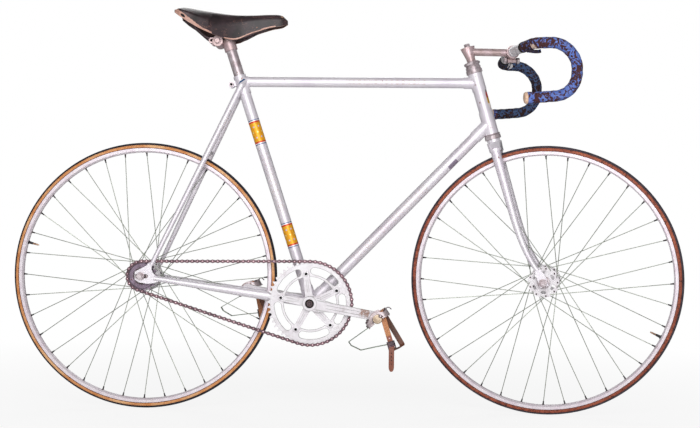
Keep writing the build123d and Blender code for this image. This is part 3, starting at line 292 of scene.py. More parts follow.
# %% Specks: small spots of rust or chipped paint
SHAKE = 0.0035
tree, given, end = effect("specks", Place=None, Scale=120.0, Amount=0.1, Size=0.25)
shaken = tree.get("ShaderNodeTexNoise", {"Vector": given["Place"], "Scale": 380.0, "Detail": 2.0}, "Color")
moved = tree.vector("ADD", given["Place"], tree.vector("MULTIPLY", shaken, (SHAKE, SHAKE, SHAKE)))
cells = tree.put("ShaderNodeTexVoronoi", {"Vector": moved, "Scale": given["Scale"]}, feature="F1").outputs
pick = tree.put("ShaderNodeSeparateColor", {"Color": Value(tree, cells["Color"])}).outputs
chosen = Value(tree, pick["Red"]).maths("LESS_THAN", given["Amount"])
reach = given["Size"] * (Value(tree, pick["Green"]) + 0.4)
specks = end(Mask=tree.ramp(Value(tree, cells["Distance"]) / reach, 1.0, 0.75) * chosen)

# %% Scratches: thin short lines that run mostly one way
tree, given, end = effect("scratches", Place=None, Stretch=(30.0, 300.0, 300.0), Amount=0.3)
drawn = tree.vector("MULTIPLY", given["Place"], given["Stretch"])
thin = tree.ramp(abs(tree.noise(drawn, 1.0, detail=2.0, distortion=0.6) - 0.5), 0.012, 0.004)
kept = tree.ramp(tree.noise(given["Place"], 26.0), 0.72 - given["Amount"], 0.75)
scratches = end(Mask=tree.maths("MULTIPLY", thin, kept, clamp=True))

# %% Along: distance along an axis and angle round it, which place bands and rings
tree, given, end = effect("along_axis", Place=None, Start=(0, 0, 0), Axis=(0, 0, 1), Side=(1, 0, 0))
local = tree.vector("SUBTRACT", given["Place"], given["Start"])
other = tree.vector("CROSS_PRODUCT", given["Axis"], given["Side"])
along, first, second = (tree.vector("DOT_PRODUCT", local, axis, "Value")
                        for axis in (given["Axis"], given["Side"], other))
along_axis = end(Along=along, Round=second.maths("ARCTAN2", first), Out=distance(first, second))

# %% Band: 1 between two distances, with edges as soft as hand-cut film
tree, given, end = effect("band", Value=0.0, From=0.0, To=1.0, Soft=0.0002)
rise = tree.ramp(given["Value"], given["From"] - given["Soft"], given["From"] + given["Soft"])
fall = tree.ramp(given["Value"], given["To"] + given["Soft"], given["To"] - given["Soft"])
band = end(Mask=rise * fall)

# %% Cloth: the crossed threads of tape and canvas, as a height
tree, given, end = effect("cloth", Place=None, Thread=900.0)
waves = [tree.get("ShaderNodeTexWave", {
    "Vector": given["Place"], "Scale": given["Thread"], "Distortion": 1.5, "Detail": 1.0},
    "Fac", wave_type="BANDS", bands_direction=direction) for direction in ("X", "Y", "Z")]
cloth = end(Height=(waves[0] + waves[1] + waves[2]) * 0.33)

# %% Hide: the pores and creases of leather, as a height
tree, given, end = effect("hide", Place=None, Pore=900.0)
pores = tree.get("ShaderNodeTexVoronoi", {
    "Vector": given["Place"], "Scale": given["Pore"]}, "Distance", feature="F1")
creases = tree.get("ShaderNodeTexVoronoi", {
    "Vector": given["Place"], "Scale": given["Pore"] * 0.12}, "Distance", feature="DISTANCE_TO_EDGE")
crease = tree.ramp(creases, 0.0, 0.08)
hide = end(Height=pores * 0.6 + crease * 0.4, Crease=crease)

# %% [markdown]
# ## Finishes
# `finish` starts a material and hands back its tree, its Principled shader and the place on
# the surface. Numbers that are the same all over are set on the shader's own sockets. Only
# what changes over the surface is linked. Three short functions place the common groups.

# %% A material to fill in
def finish(name, roughness=0.5, metallic=0.0, coat=0.0, specular=0.5):
    material = bpy.data.materials.new(name)
    material.use_nodes = True
    tree = Tree(material.node_tree)
    shader = tree.put("ShaderNodeBsdfPrincipled", {
        "Roughness": roughness, "Metallic": metallic, "Coat Weight": coat, "Specular IOR Level": specular})
    tree.put("ShaderNodeOutputMaterial", {"Surface": Value(tree, shader.outputs[0])})
    print("finish:", name)
    return material, tree, shader.inputs, tree.get("ShaderNodeTexCoord", output="Object")


def relief(tree, shader, height, strength, depth=0.0004):
    bump = tree.get("ShaderNodeBump", {"Strength": strength, "Distance": depth, "Height": height})
    tree.feed(shader["Normal"], bump)


def mottled(tree, place, scale, first, second, **limits):
    return tree.use(mottle, Place=place, Scale=scale, First=colour(*first), Second=colour(*second),
                    **limits)["Colour"]


def speckled(tree, place, scale, amount, size):
    return tree.use(specks, Place=place, Scale=scale, Amount=amount, Size=size)["Mask"]


def within(tree, value, start, end, soft=0.0002):
    return tree.use(band, Value=value, From=start, To=end, Soft=soft)["Mask"]

# %% [markdown]
# The frame is sprayed in a silver enamel with a lilac cast, now many years old. The real
# paint has fine metal flake, rust that comes through in small brown specks, and grime in the
# corners. Flake is a weak noise in the colour, and rust is the speck group.

# %% Silver enamel, with what a tube may carry
RUST = colour(124, 70, 42)
ENAMEL_METAL = 0.24


def enamel(name, extra=None, rust=0.035):
    material, tree, shader, place = finish(name, roughness=0.42, metallic=ENAMEL_METAL, coat=0.12, specular=0.30)
    tone = mottled(tree, place, 14.0, (236, 231, 237), (222, 213, 224), Low=0.42, High=0.72)
    flake = tree.noise(place, 2600.0, detail=1.0)
    tone = tree.blend(tree.ramp(flake, 0.35, 0.65, 0.0, 0.10), tone, colour(190, 182, 195))
    if extra:
        tone = extra(tree, place, tone)
    dirt = tree.noise(place, 5.5, detail=5.0)
    tone = tree.blend(tree.ramp(dirt, 0.60, 0.80, 0.0, 0.35), tone, colour(206, 186, 180))
    spots = strongest(speckled(tree, place, 210.0, rust, 0.24), speckled(tree, place, 85.0, rust * 0.6, 0.20))
    tree.feed(shader["Base Color"], tree.blend(spots * 0.8, tone, RUST))
    tree.feed(shader["Roughness"], spots * 0.4 + 0.40)
    tree.feed(shader["Metallic"], (1.0 - spots) * ENAMEL_METAL)
    relief(tree, shader, tree.noise(place, 320.0) - spots * 0.6, 0.06, 0.0002)
    return material

# %% [markdown]
# Bands and ornaments are placed by distances along a tube, so the tube's ends and direction
# are needed. They are the same places that the CAD model was built on.

# %% Places on the frame
bracket = Vector((0.270, 0, -0.724))
seat_dir = Vector((-0.31399, 0, 0.94943))
head_dir = Vector((-0.28402, 0, 0.95882))
head_forward = Vector((0.95882, 0, 0.28402))
steer_foot = Vector((0.82267, 0, -0.66968))
rear_axle = Vector((-0.14885, 0, -0.66230))
down_node = steer_foot + head_dir * 0.4125
down_dir = (down_node - bracket).normalized()
top_node = steer_foot + head_dir * 0.516
seat_node = bracket + seat_dir * 0.5783
top_dir = (top_node - seat_node).normalized()
LEFT, UP, FORWARD = Vector((0, 1, 0)), Vector((0, 0, 1)), Vector((1, 0, 0))
RIGHT = -LEFT
print("seat tube length to the top tube:", round(seat_node.z - bracket.z, 3), "m up")

# %% [markdown]
# The seat tube has two bands of film: blue and red lines round an orange-yellow field with
# pale dots. The down tube and the top tube carry a plain pin-stripe ornament in faded gold,
# and the caps of the seat stays three short lines.

# %% Bands, dots and pin-stripes
BLUE, RED, ORANGE = colour(60, 90, 150), colour(222, 70, 36), colour(250, 176, 42)
PALE, GOLD = colour(244, 242, 244), colour(188, 150, 120)
DOT_TONES = {-1: colour(222, 208, 236), 0: colour(250, 226, 150), 1: colour(222, 208, 236)}
FILM_BANDS = ((0.1455, 0.2085), (0.4135, 0.4775))
TUBE, DOTS_ROUND, DOT_ROWS_APART, LOZENGE_STEP = 0.0143, 7, 0.0135, 0.0135


def along_tube(tree, place, start, axis):
    return tree.use(along_axis, Place=place, Start=tuple(start), Axis=tuple(axis), Side=(0, -1, 0))


def stripe_row(tree, where, tone, rows):
    for start, end, tint in rows:
        tone = tree.blend(within(tree, where, start, end), tone, tint)
    return tone


def pin_stripe(tree, spot, tone, start, end, half_width):
    """A row of small outlined lozenges between two fine lines."""
    inside = within(tree, spot["Along"], start, end)
    across = abs(spot["Round"] * TUBE)
    edge = within(tree, across, half_width - 0.0005, half_width + 0.0002)
    nearest = abs(((spot["Along"] - start) / LOZENGE_STEP).maths("FRACT") - 0.5)
    lozenge = within(tree, nearest * (LOZENGE_STEP * 1.05) + across * 0.8, 0.0044, 0.0054)
    worn = tree.ramp(tree.noise(spot["Along"], 70.0), 0.36, 0.58)
    return tree.blend(strongest(edge, lozenge) * inside * worn * 0.75, tone, GOLD)


def seat_tube_film(tree, place, tone):
    spot = along_tube(tree, place, bracket, seat_dir)
    where = spot["Along"]
    for low, high in FILM_BANDS:
        marks = [low, low + 0.0018, low + 0.0042, low + 0.0080, high - 0.0080, high - 0.0042, high - 0.0018, high]
        tints = (BLUE, PALE, RED, ORANGE, RED, PALE, BLUE)
        tone = stripe_row(tree, where, tone, zip(marks, marks[1:], tints))
        for row, tint in DOT_TONES.items():
            turned_by = spot["Round"] * (DOTS_ROUND / (2 * pi)) + (0.5 * row + 0.3)
            sideways = (turned_by.maths("FRACT") - 0.5) * (2 * pi * TUBE / DOTS_ROUND)
            away = distance(sideways, where - ((low + high) / 2 + row * DOT_ROWS_APART))
            tone = tree.blend(tree.ramp(away, 0.0024, 0.0018), tone, tint)
    return pin_stripe(tree, spot, tone, 0.232, 0.388, 0.0085)


def down_tube_film(tree, place, tone):
    spot = along_tube(tree, place, bracket, down_dir)
    tone = pin_stripe(tree, spot, tone, 0.152, 0.405, 0.0085)
    patch = within(tree, spot["Along"], 0.478, 0.506) * within(tree, spot["Round"], 0.25, 1.15, 0.05)
    return tree.blend(patch * 0.8, tone, colour(112, 92, 122))


def top_tube_film(tree, place, tone):
    return pin_stripe(tree, along_tube(tree, place, seat_node, top_dir), tone, 0.262, 0.462, 0.0065)


def cap_stripes(tree, place, tone):
    where = along_tube(tree, place, seat_node, (0.62, 0.0, -0.78))["Along"]
    return stripe_row(tree, where, tone, (
        (-0.0060, -0.0025, colour(196, 60, 50)), (-0.0025, 0.0005, colour(246, 244, 246)),
        (0.0005, 0.0045, colour(40, 90, 140))))


silver_enamel = enamel("silver_enamel")
rusty_enamel = enamel("silver_enamel_by_the_lugs", rust=0.09)
seat_tube_paint = enamel("silver_enamel_with_bands", seat_tube_film)
down_tube_paint = enamel("silver_enamel_on_the_down_tube", down_tube_film)
top_tube_paint = enamel("silver_enamel_on_the_top_tube", top_tube_film)
stay_paint = enamel("silver_enamel_on_the_seat_stays", cap_stripes)

# %% [markdown]
# Polished alloy goes dull and almost white with age. The rims, hubs, ring and cranks have it.
# It is a metal with much scatter, fine scratches along the way it was brushed, and brown
# grime in patches. Plated steel is the same idea with a darker tone and more rust.

# %% Metals
SCATTER, PATCH_GROWS = 0.3, 0.9


def metal(name, tone, second, roughness, metallic, grime=0.3, grime_tint=(120, 84, 72), rust=0.0,
          rust_at=None, edge_shade_of=None, edge_shade_tone=(128, 132, 126)):
    material, tree, shader, place = finish(name, roughness, metallic)
    base = mottled(tree, place, 55.0, tone, second)
    lines = tree.use(scratches, Place=place, Stretch=(60.0, 900.0, 260.0), Amount=0.35)["Mask"]
    base = tree.blend(lines * 0.25, base, colour(120, 112, 112))
    # Painted shade: dark lines along edges, grooves and recesses that stand in for their shading.
    if edge_shade_of:
        base = tree.blend(edge_shade_of(tree, place) * 0.66, base, colour(*edge_shade_tone))
    mask = tree.ramp(tree.noise(place, 75.0, detail=5.0), 0.56, 0.74, 0.0, grime)
    base = tree.blend(mask, base, colour(*grime_tint))
    if rust:
        spots = speckled(tree, place, 260.0, rust, 0.34)
        base = tree.blend(spots, base, RUST)
        mask = strongest(mask, spots)
    if rust_at:
        centre, reach = rust_at
        frays = tree.ramp(tree.noise(place, 160.0), 0.3, 0.7, 0.0, reach * PATCH_GROWS)
        frayed = tree.vector("DISTANCE", place, centre, "Value") + frays
        patch = tree.ramp(frayed, reach * 1.15, reach * 0.7, 0.0, 0.75)
        base = tree.blend(patch, base, colour(150, 98, 66))
        mask = strongest(mask, patch)
    tree.feed(shader["Base Color"], base)
    tree.feed(shader["Roughness"], mask * SCATTER + roughness)
    tree.feed(shader["Metallic"], (1.0 - mask * 0.8) * metallic)
    relief(tree, shader, tree.noise(place, 900.0) + lines, 0.04, 0.0002)
    return material

# %% [markdown]
# Dark lines are painted along the edges of slots and grooves as shade, which draws the ring, the cranks and the
# sprocket from a step away. Each edge is a band at a distance, measured round the axle of the drive.
# The ring and the spider repeat five times, so the angle is folded into one fifth of a turn.

# %% Painted shade along the edges of the drive
FIFTH = 2 * pi / 5
SLOT_RADIUS, SLOT_HALF_ANGLE, FINE = 0.080, radians(21.0), 0.0003


def drive_place(tree, place, axle):
    """Forward and up from an axle, then radius and angle round it."""
    apart = tree.vector("SUBTRACT", place, tuple(axle))
    parts = tree.put("ShaderNodeSeparateXYZ", {0: apart}).outputs
    forward, up = Value(tree, parts["X"]), Value(tree, parts["Z"])
    return forward, up, distance(forward, up), up.maths("ARCTAN2", forward)


def folded(angle):
    fifths = angle / FIFTH
    return (fifths - fifths.maths("ROUND")) * FIFTH


def ring_edge_shade(tree, place):
    forward, up, radius, angle = drive_place(tree, place, bracket)
    past_slot = (abs(folded(angle + radians(10.0))) - SLOT_HALF_ANGLE).maths("MAXIMUM", 0.0) * SLOT_RADIUS
    slot_edge = within(tree, distance(past_slot, radius - SLOT_RADIUS), 0.0083, 0.0098, FINE)
    inner_edge = within(tree, radius, 0.0645, 0.0660, FINE)
    return strongest(slot_edge, inner_edge, within(tree, radius, 0.0975, 0.0985, 0.0004) * 0.4)


def crank_edge_shade(tree, place):
    """Painted shade lines: the groove and edges of the arm, lines on the spider's arms, and the edge of the boss.
    """
    forward, up, radius, angle = drive_place(tree, place, bracket)
    across = abs(up * cos(CRANK_ANGLE) - forward * sin(CRANK_ANGLE))
    spider = abs(folded(angle - radians(26.0)).maths("SINE") * radius)
    edges = [within(tree, where, *limits, soft) * within(tree, radius, *reach, soft_reach)
             for where, limits, soft, reach, soft_reach in (
                 (across, (0.0034, 0.0046), FINE, (0.042, 0.152), 0.002),
                 (across, (0.0100, 0.0130), 0.0008, (0.020, 0.165), 0.004),
                 (spider, (0.0014, 0.0026), FINE, (0.028, 0.058), 0.001))]
    return strongest(edges[0], edges[1] * 0.8, edges[2] * 0.7, within(tree, radius, 0.0168, 0.0184, 0.0004) * 0.7)


def sprocket_recess_shade(tree, place):
    """Painted shade: a dark ring in the recess between the sprocket's disc and its teeth."""
    return within(tree, drive_place(tree, place, rear_axle)[2], 0.0304, 0.0326, 0.0004)


CRANK_ANGLE = radians(-10.0)
ring_alloy = metal("ring_alloy", (231, 228, 231), (220, 214, 219), 0.42, 0.15, grime=0.2, edge_shade_of=ring_edge_shade)
polished_alloy = metal("polished_alloy", (231, 228, 231), (218, 212, 217), 0.42, 0.15, grime=0.22)
crank_alloy = metal("crank_alloy", (229, 225, 229), (214, 208, 213), 0.42, 0.15, grime=0.22,
                    rust_at=((0.408, -0.060, -0.742), 0.022), edge_shade_of=crank_edge_shade)
rim_alloy = metal("rim_alloy", (240, 232, 238), (228, 214, 224), 0.40, 0.15, grime=0.22, grime_tint=(170, 110, 105))
plated_steel = metal("plated_steel", (206, 196, 200), (170, 154, 158), 0.36, 0.40, grime=0.5, rust=0.05)
stem_steel = metal("stem_steel", (204, 180, 184), (178, 154, 152), 0.36, 0.35, grime=0.35, rust=0.03)
cage_steel = metal("cage_steel", (214, 202, 206), (164, 146, 146), 0.40, 0.35, grime=0.5, rust=0.08)
clip_steel = metal("clip_steel", (128, 140, 124), (86, 96, 84), 0.40, 0.60, grime=0.4, rust=0.05)
chain_steel = metal("chain_steel", (112, 84, 92), (80, 58, 66), 0.42, 0.50, grime=0.5,
                    grime_tint=(60, 42, 44), rust=0.06)
pin_steel = metal("chain_pins", (214, 182, 188), (170, 138, 146), 0.34, 0.55)
sprocket_steel = metal("sprocket_steel", (142, 124, 142), (112, 96, 112), 0.45, 0.45, grime=0.45,
                       grime_tint=(70, 52, 60), rust=0.05, edge_shade_of=sprocket_recess_shade, edge_shade_tone=(34, 28, 36))
dark_steel = metal("dark_steel", (92, 74, 80), (58, 48, 50), 0.45, 0.50, grime=0.4, grime_tint=(36, 26, 26))
black_brass = metal("blackened_brass", (40, 36, 38), (22, 20, 22), 0.42, 0.40, grime=0.4, grime_tint=(76, 44, 36))
spoke_wire = metal("spoke_wire", (178, 184, 170), (150, 156, 146), 0.35, 0.55, grime=0.35,
                   grime_tint=(120, 112, 84), rust=0.02)
brass = metal("worn_brass", (206, 168, 140), (150, 120, 104), 0.40, 0.55, grime=0.4, rust=0.04)
cap_alloy = metal("cap_alloy", (208, 188, 164), (178, 156, 132), 0.42, 0.35, grime=0.35)

# %% [markdown]
# ## Rubber, cloth and leather
# The front tyre has a dark grey tread over red-brown sides with darker flecks, and the rear
# one has tan sides that catch the light, with a thin dark tread. Both are glued tubular
# tyres. The tread's fine file pattern is a wave in the height.

# %% Rubber
def rubber(name, tone, second, fleck=None, fleck_share=0.5, pattern=0.0, streak=None):
    material, tree, shader, place = finish(name, roughness=0.62, specular=0.3)
    base = mottled(tree, place, 60.0, tone, second)
    if streak:
        soft = tree.ramp(tree.noise(place, 12.0, detail=5.0), 0.45, 0.62)
        base = tree.blend(soft * 0.7, base, colour(*streak))
    if fleck:
        mask = tree.ramp(tree.noise(place, 190.0, detail=4.0, distortion=0.8), 0.54, 0.62)
        base = tree.blend(mask * fleck_share, base, colour(*fleck))
    tree.feed(shader["Base Color"], base)
    fine = tree.noise(place, 1100.0)
    tree.feed(shader["Roughness"], tree.ramp(fine, 0.3, 0.7, 0.54, 0.74))
    relief(tree, shader, fine, 0.15 + pattern, 0.0003)
    return material


tread_front = rubber("tread_front", (84, 74, 84), (62, 54, 62), fleck=(44, 38, 44), pattern=0.2)
edge_front = rubber("tread_edge_front", (38, 34, 38), (26, 24, 26))
side_front = rubber("side_front", (168, 88, 66), (128, 64, 50), fleck=(76, 40, 34), fleck_share=0.85,
                    streak=(188, 106, 76))
tread_rear = rubber("tread_rear", (46, 42, 52), (34, 30, 38), pattern=0.2)
side_rear = rubber("side_rear", (224, 160, 108), (206, 134, 76), fleck=(176, 98, 56), fleck_share=0.4,
                   streak=(242, 196, 146))
base_tape = rubber("rim_tape", (120, 62, 46), (84, 48, 40), fleck=(60, 34, 34), fleck_share=0.8)

# %% [markdown]
# The bar is wound with cotton tape that was printed or has gone blotchy: bright blue with brown-black patches. A
# noise that is bent by itself gives such worm-like patches. The far side of the bar takes the same recipe with
# darker numbers, as painted shade.

# %% Cloth tape
def tape_cloth(name, blue, pale, brown, patch_at=None, share=0.0):
    material, tree, shader, place = finish(name, roughness=0.85, specular=0.2)
    worm = tree.noise(place, 78.0, detail=2.5, roughness=0.5, distortion=1.9)
    edge = worm + (tree.noise(place, 16.0, detail=2.0) - 0.5) * 0.45
    stain = tree.ramp(edge, 0.475 - share / 2, 0.515 - share / 2)
    red, green, deep_blue = brown
    deep = mottled(tree, place, 200.0, brown, (red + 26, green + 14, deep_blue + 12))
    tone = tree.blend(stain, mottled(tree, place, 120.0, blue, pale), deep)
    if patch_at:
        frays = tree.ramp(tree.noise(place, 260.0), 0.3, 0.7, -0.003, 0.003)
        away = tree.vector("DISTANCE", place, patch_at, "Value") + frays
        tone = tree.blend(tree.ramp(away, 0.0095, 0.0080), tone, colour(226, 200, 184))
    tree.feed(shader["Base Color"], tone)
    weave = tree.use(cloth, Place=place, Thread=420.0)["Height"]
    tree.feed(shader["Roughness"], tree.ramp(weave, 0.0, 1.0, 0.75, 0.95))
    relief(tree, shader, weave, 0.35)
    return material


blue_tape = tape_cloth("blue_bar_tape", (88, 114, 192), (114, 136, 204), (62, 40, 44),
                       (0.797, -0.167, -0.108), 0.012)
far_tape_painted_shade = tape_cloth("bar_tape_with_painted_shade", (62, 80, 116), (76, 94, 130), (34, 24, 26), share=0.07)
black_tape = tape_cloth("black_end_tape", (30, 42, 42), (24, 32, 34), (18, 16, 18))
loose_tape = tape_cloth("loose_tape_end", (62, 84, 160), (44, 58, 112), (30, 30, 44))

# %% [markdown]
# The saddle is thick hide, moulded and blackened, that has been rubbed to brown along its
# flank and scuffed to pink where the surface broke. Straps are thinner hide that kept more
# of its tan. Both use the hide group for pores, at different sizes.

# %% Leather and resin
def leather(name, tone, second, scuff, scuff_share, pore, roughness):
    material, tree, shader, place = finish(name, roughness=roughness, specular=0.45, coat=0.08)
    skin = tree.use(hide, Place=place, Pore=pore)
    creased = tree.ramp(skin["Crease"], 0.0, 1.0, 0.30, 0.0)
    base = tree.blend(creased, mottled(tree, place, 22.0, tone, second), colour(*(value * 0.5 for value in tone)))
    lines = tree.use(scratches, Place=place, Stretch=(70.0, 55.0, 130.0), Amount=scuff_share)["Mask"]
    marks = strongest(lines, speckled(tree, place, 70.0, 0.10, 0.16))
    tree.feed(shader["Base Color"], tree.blend(marks * 0.75, base, colour(*scuff)))
    tree.feed(shader["Roughness"], marks * SCATTER + roughness)
    relief(tree, shader, skin["Height"] - marks, 0.25)
    return material


def plain_resin(name, tone, second, roughness=0.5):
    material, tree, shader, place = finish(name, roughness=roughness)
    spots = speckled(tree, place, 300.0, 0.15, 0.3)
    base = mottled(tree, place, 130.0, tone, second)
    tree.feed(shader["Base Color"], tree.blend(spots * 0.6, base, colour(120, 80, 60)))
    relief(tree, shader, tree.noise(place, 700.0), 0.1, 0.0002)
    return material


saddle_hide = leather("saddle_hide", (40, 32, 34), (68, 52, 58), (190, 140, 122), 0.30, 700.0, 0.46)
worn_edge = leather("saddle_worn_edge", (224, 180, 164), (196, 148, 132), (230, 190, 170), 0.3, 900.0, 0.6)
under_hide = leather("saddle_underside", (70, 44, 40), (48, 32, 32), (120, 80, 66), 0.1, 600.0, 0.7)
tan_strap = leather("tan_strap", (206, 140, 92), (176, 108, 68), (228, 176, 132), 0.2, 1100.0, 0.55)
dark_strap = leather("dark_strap", (128, 76, 52), (92, 56, 42), (60, 36, 30), 0.25, 1100.0, 0.6)
red_strap = leather("red_strap", (158, 92, 70), (126, 70, 54), (84, 46, 38), 0.25, 1100.0, 0.58)
cream_resin = plain_resin("cream_plug", (240, 206, 178), (222, 184, 156))
# Near-black for holes, slots, sockets and recesses: painted shade, with a few brown specks.
painted_shade = plain_resin("painted_hole_shade", (34, 26, 28), (22, 18, 20), 0.8)

# %% [markdown]
# ## Finishes on the CAD model's own pieces
# Most tubes, lugs, hubs and cranks have the right shape already. They stay as they are and
# only take a finish. One table says which.

# %% Give each carried node its finish
finishes = {
    silver_enamel: "head_tube chain_stay_right chain_stay_left stay_bridges fork_blade_right fork_blade_left "
                   "track_end_right track_end_left",
    rusty_enamel: "head_lug_upper head_lug_lower seat_lug bracket_shell fork_crown",
    seat_tube_paint: "seat_tube", down_tube_paint: "down_tube", top_tube_paint: "top_tube",
    stay_paint: "seat_stay_right seat_stay_left",
    plated_steel: "bracket_cups front_axle rear_axle headset_cups headset_race steerer seatpost",
    stem_steel: "stem saddle_clamp",
    polished_alloy: "front_hub rear_hub handlebar",
    ring_alloy: "chainring", crank_alloy: "crank_right crank_left", rim_alloy: "front_rim rear_rim",
    dark_steel: "bracket_spindle saddle_frame lockring pedal_spindle_right pedal_spindle_left",
    sprocket_steel: "sprocket", cage_steel: "pedal_right pedal_left", clip_steel: "toe_clip_right toe_clip_left",
    cream_resin: "bar_plugs",
}
for material, names in finishes.items():
    for name in names.split():
        nodes[name].data.materials.clear()
        nodes[name].data.materials.append(material)
dressed = set(" ".join(finishes.values()).split())
print("dressed:", len(dressed), "left for new pieces:", sorted(set(nodes) - dressed))

# %% [markdown]
# ## Building shapes
# A turned part is a row of circles, a strap is a row of small rectangles, and a plate is the same outline a few
# times over. So one function, `skin`, joins rows of points into a surface, and the others only make the rows.
# `piece` turns the surfaces into an object, says which body it rides on and hides the CAD nodes that it stands for.
# Profiles and small sections are written in millimetres, as on a drawing.

# %% Surfaces from rows of points
def skin(rows, closed=False, caps=True, paint=0):
    verts, faces, starts = [], [], []
    for row in rows:
        starts.append((len(verts), len(row)))
        verts.extend(row)
    pairs = list(zip(starts, starts[1:])) + ([(starts[-1], starts[0])] if closed else [])
    for (low, low_count), (high, high_count) in pairs:
        count = max(low_count, high_count)
        for number in range(count):
            after = (number + 1) % count
            corners = [low + number % low_count, low + after % low_count,
                       high + after % high_count, high + number % high_count]
            face = list(dict.fromkeys(corners))
            if len(face) > 2:
                faces.append((face, paint))
    if caps and not closed:
        for start, count in (starts[0], starts[-1]):
            if count > 2:
                faces.append((list(range(start, start + count)), paint))
    return verts, faces


def piece(name, surfaces, materials, body, hides=(), angle=38):
    verts, faces, paints = [], [], []
    for more, polygons in surfaces:
        base = len(verts)
        verts.extend(tuple(v) for v in more)
        for face, paint in polygons:
            faces.append([base + corner for corner in face])
            paints.append(paint)
    mesh = bpy.data.meshes.new(name)
    mesh.from_pydata(verts, [], faces)
    for material in materials if isinstance(materials, tuple) else (materials,):
        mesh.materials.append(material)
    mesh.polygons.foreach_set("material_index", paints)
    made = bmesh.new()
    made.from_mesh(mesh)
    bmesh.ops.recalc_face_normals(made, faces=made.faces)
    made.to_mesh(mesh)
    made.free()
    mesh.shade_smooth()
    mesh.set_sharp_from_angle(angle=radians(angle))
    thing = bpy.data.objects.new(name, mesh)
    scene.collection.objects.link(thing)
    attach(thing, body)
    if hides:
        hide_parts(*hides)
    print("piece:", name, "of", len(faces), "faces")
    return thing


def circle(centre, axis, radius, steps, turn=0.0):
    if radius < 1e-7:
        return [centre.copy()]
    hint = UP if abs(axis.z) < 0.9 else FORWARD
    side = (hint - axis * hint.dot(axis) / axis.length_squared).normalized()
    up = axis.cross(side)
    angles = [turn + 2 * pi * n / steps for n in range(steps)]
    return [centre + (side * cos(angle) + up * sin(angle)) * radius for angle in angles]


def turned(start, axis, profile, steps=32, paint=0, at=0.0, turn=0.0):
    """Profile rows are (distance along the axis from `at`, radius), in millimetres."""
    axis = axis.normalized()
    return skin([circle(start + axis * (at + along) * MM, axis, radius * MM, steps, turn)
                 for along, radius in profile], paint=paint)


def hexagon(start, axis, height, across_flats, at=0.0, turn=0.0):
    radius, chamfer = across_flats / 2 / cos(pi / 6), 0.6
    profile = ((0, radius), (height - chamfer, radius), (height, radius - chamfer), (height, 0))
    return turned(start, axis, profile, 6, at=at, turn=turn)


def along_path(points, section, wide, paint=0, scales=None):
    """Sweeps a small outline; its first number runs along `wide`, the other across path and wide."""
    rows = []
    for number, point in enumerate(points):
        before, after = points[max(number - 1, 0)], points[min(number + 1, len(points) - 1)]
        run = (after - before).normalized()
        side = (wide - run * wide.dot(run)).normalized()
        thick = run.cross(side)
        scale = scales[number] if scales else 1.0
        rows.append([point + side * u * scale + thick * v for u, v in section])
    return skin(rows, paint=paint)


def wire_section(radius):
    return [(radius * MM * cos(2 * pi * n / 8), radius * MM * sin(2 * pi * n / 8)) for n in range(8)]


def strap_section(width, thickness):
    half, low, cut = width * MM / 2, thickness * MM / 2, thickness * MM * 0.3
    return [(half - cut, -low), (half, -low + cut), (half, low - cut), (half - cut, low),
            (-half + cut, low), (-half, low - cut), (-half, -low + cut), (-half + cut, -low)]


def rounded(corners, radii, step):
    """The corners joined by straight runs and arcs, as points about one step apart."""
    line = [corners[0].copy()]
    for before, corner, after, radius in zip(corners, corners[1:], corners[2:], radii):
        back, onward = (before - corner).normalized(), (after - corner).normalized()
        half = back.angle(onward) / 2
        reach = min(radius / tan(half), (before - corner).length, (after - corner).length)
        radius = reach * tan(half)
        centre = corner + (back + onward).normalized() * radius / sin(half)
        first, last = corner + back * reach, corner + onward * reach
        count = max(3, int(radius * (pi - 2 * half) / step))
        for number in range(count + 1):
            arm = (first - centre).slerp(last - centre, number / count, (first - centre))
            line.append(centre + arm.normalized() * radius)
    line.append(corners[-1].copy())
    fine = [line[0]]
    for point in line[1:]:
        base = fine[-1]
        gap = (point - base).length
        if gap > 1e-6:
            count = max(1, int(gap / step))
            fine.extend(base.lerp(point, number / count) for number in range(1, count + 1))
    return fine

# %% [markdown]
# Each wheel has a frame of its own: local x is forward, local z points out along the axle to
# the right. In the photograph the fork and the bars are turned a little, and by different
# amounts, so both directions are worked out from the head tube's axis.

# %% Frames of the wheels and the bars
def facing(angle):
    """A direction in the bicycle's middle plane, at an angle up from forward."""
    return FORWARD * cos(angle) + UP * sin(angle)


def spin_frame(centre, forward, out):
    matrix = Matrix((forward, out.cross(forward), out)).transposed().to_4x4()
    matrix.translation = centre
    return matrix


FORK_TURN, BARS_TURN, FORK_OFFSET = radians(-11.0), radians(6.6), 0.026
turn_fork = Matrix.Rotation(FORK_TURN, 3, head_dir)
fork_left = turn_fork @ LEFT
bars_forward = Matrix.Rotation(BARS_TURN, 3, head_dir) @ head_forward
front_axle = steer_foot + turn_fork @ head_forward * FORK_OFFSET
wheels = {
    "front": spin_frame(front_axle, fork_left.cross(UP).normalized(), -fork_left),
    "rear": spin_frame(rear_axle, FORWARD, RIGHT),
}
print("front axle at", [round(v, 4) for v in front_axle])

# %% [markdown]
# ## Wheels
# A tubular tyre is a tube of cotton sewn shut and glued on. Its tread is a separate strip, so
# the section has a step at each shoulder and fine ribs across the crown. The section is
# turned once round the wheel, and each strip of faces takes its own rubber.

# %% Tyres
TYRE_OUT, RIM_INNER = 0.333, 0.309
CASING, CASING_DEPTH, TREAD, RIB = 0.0104, 0.0110, 0.0006, 0.00025
STEPS_ROUND, SHOULDER, STEP_WIDE, SEAM = 200, 48, 6, 96
ON_TREAD, ON_SIDE, ON_EDGE, ON_SEAM = range(4)


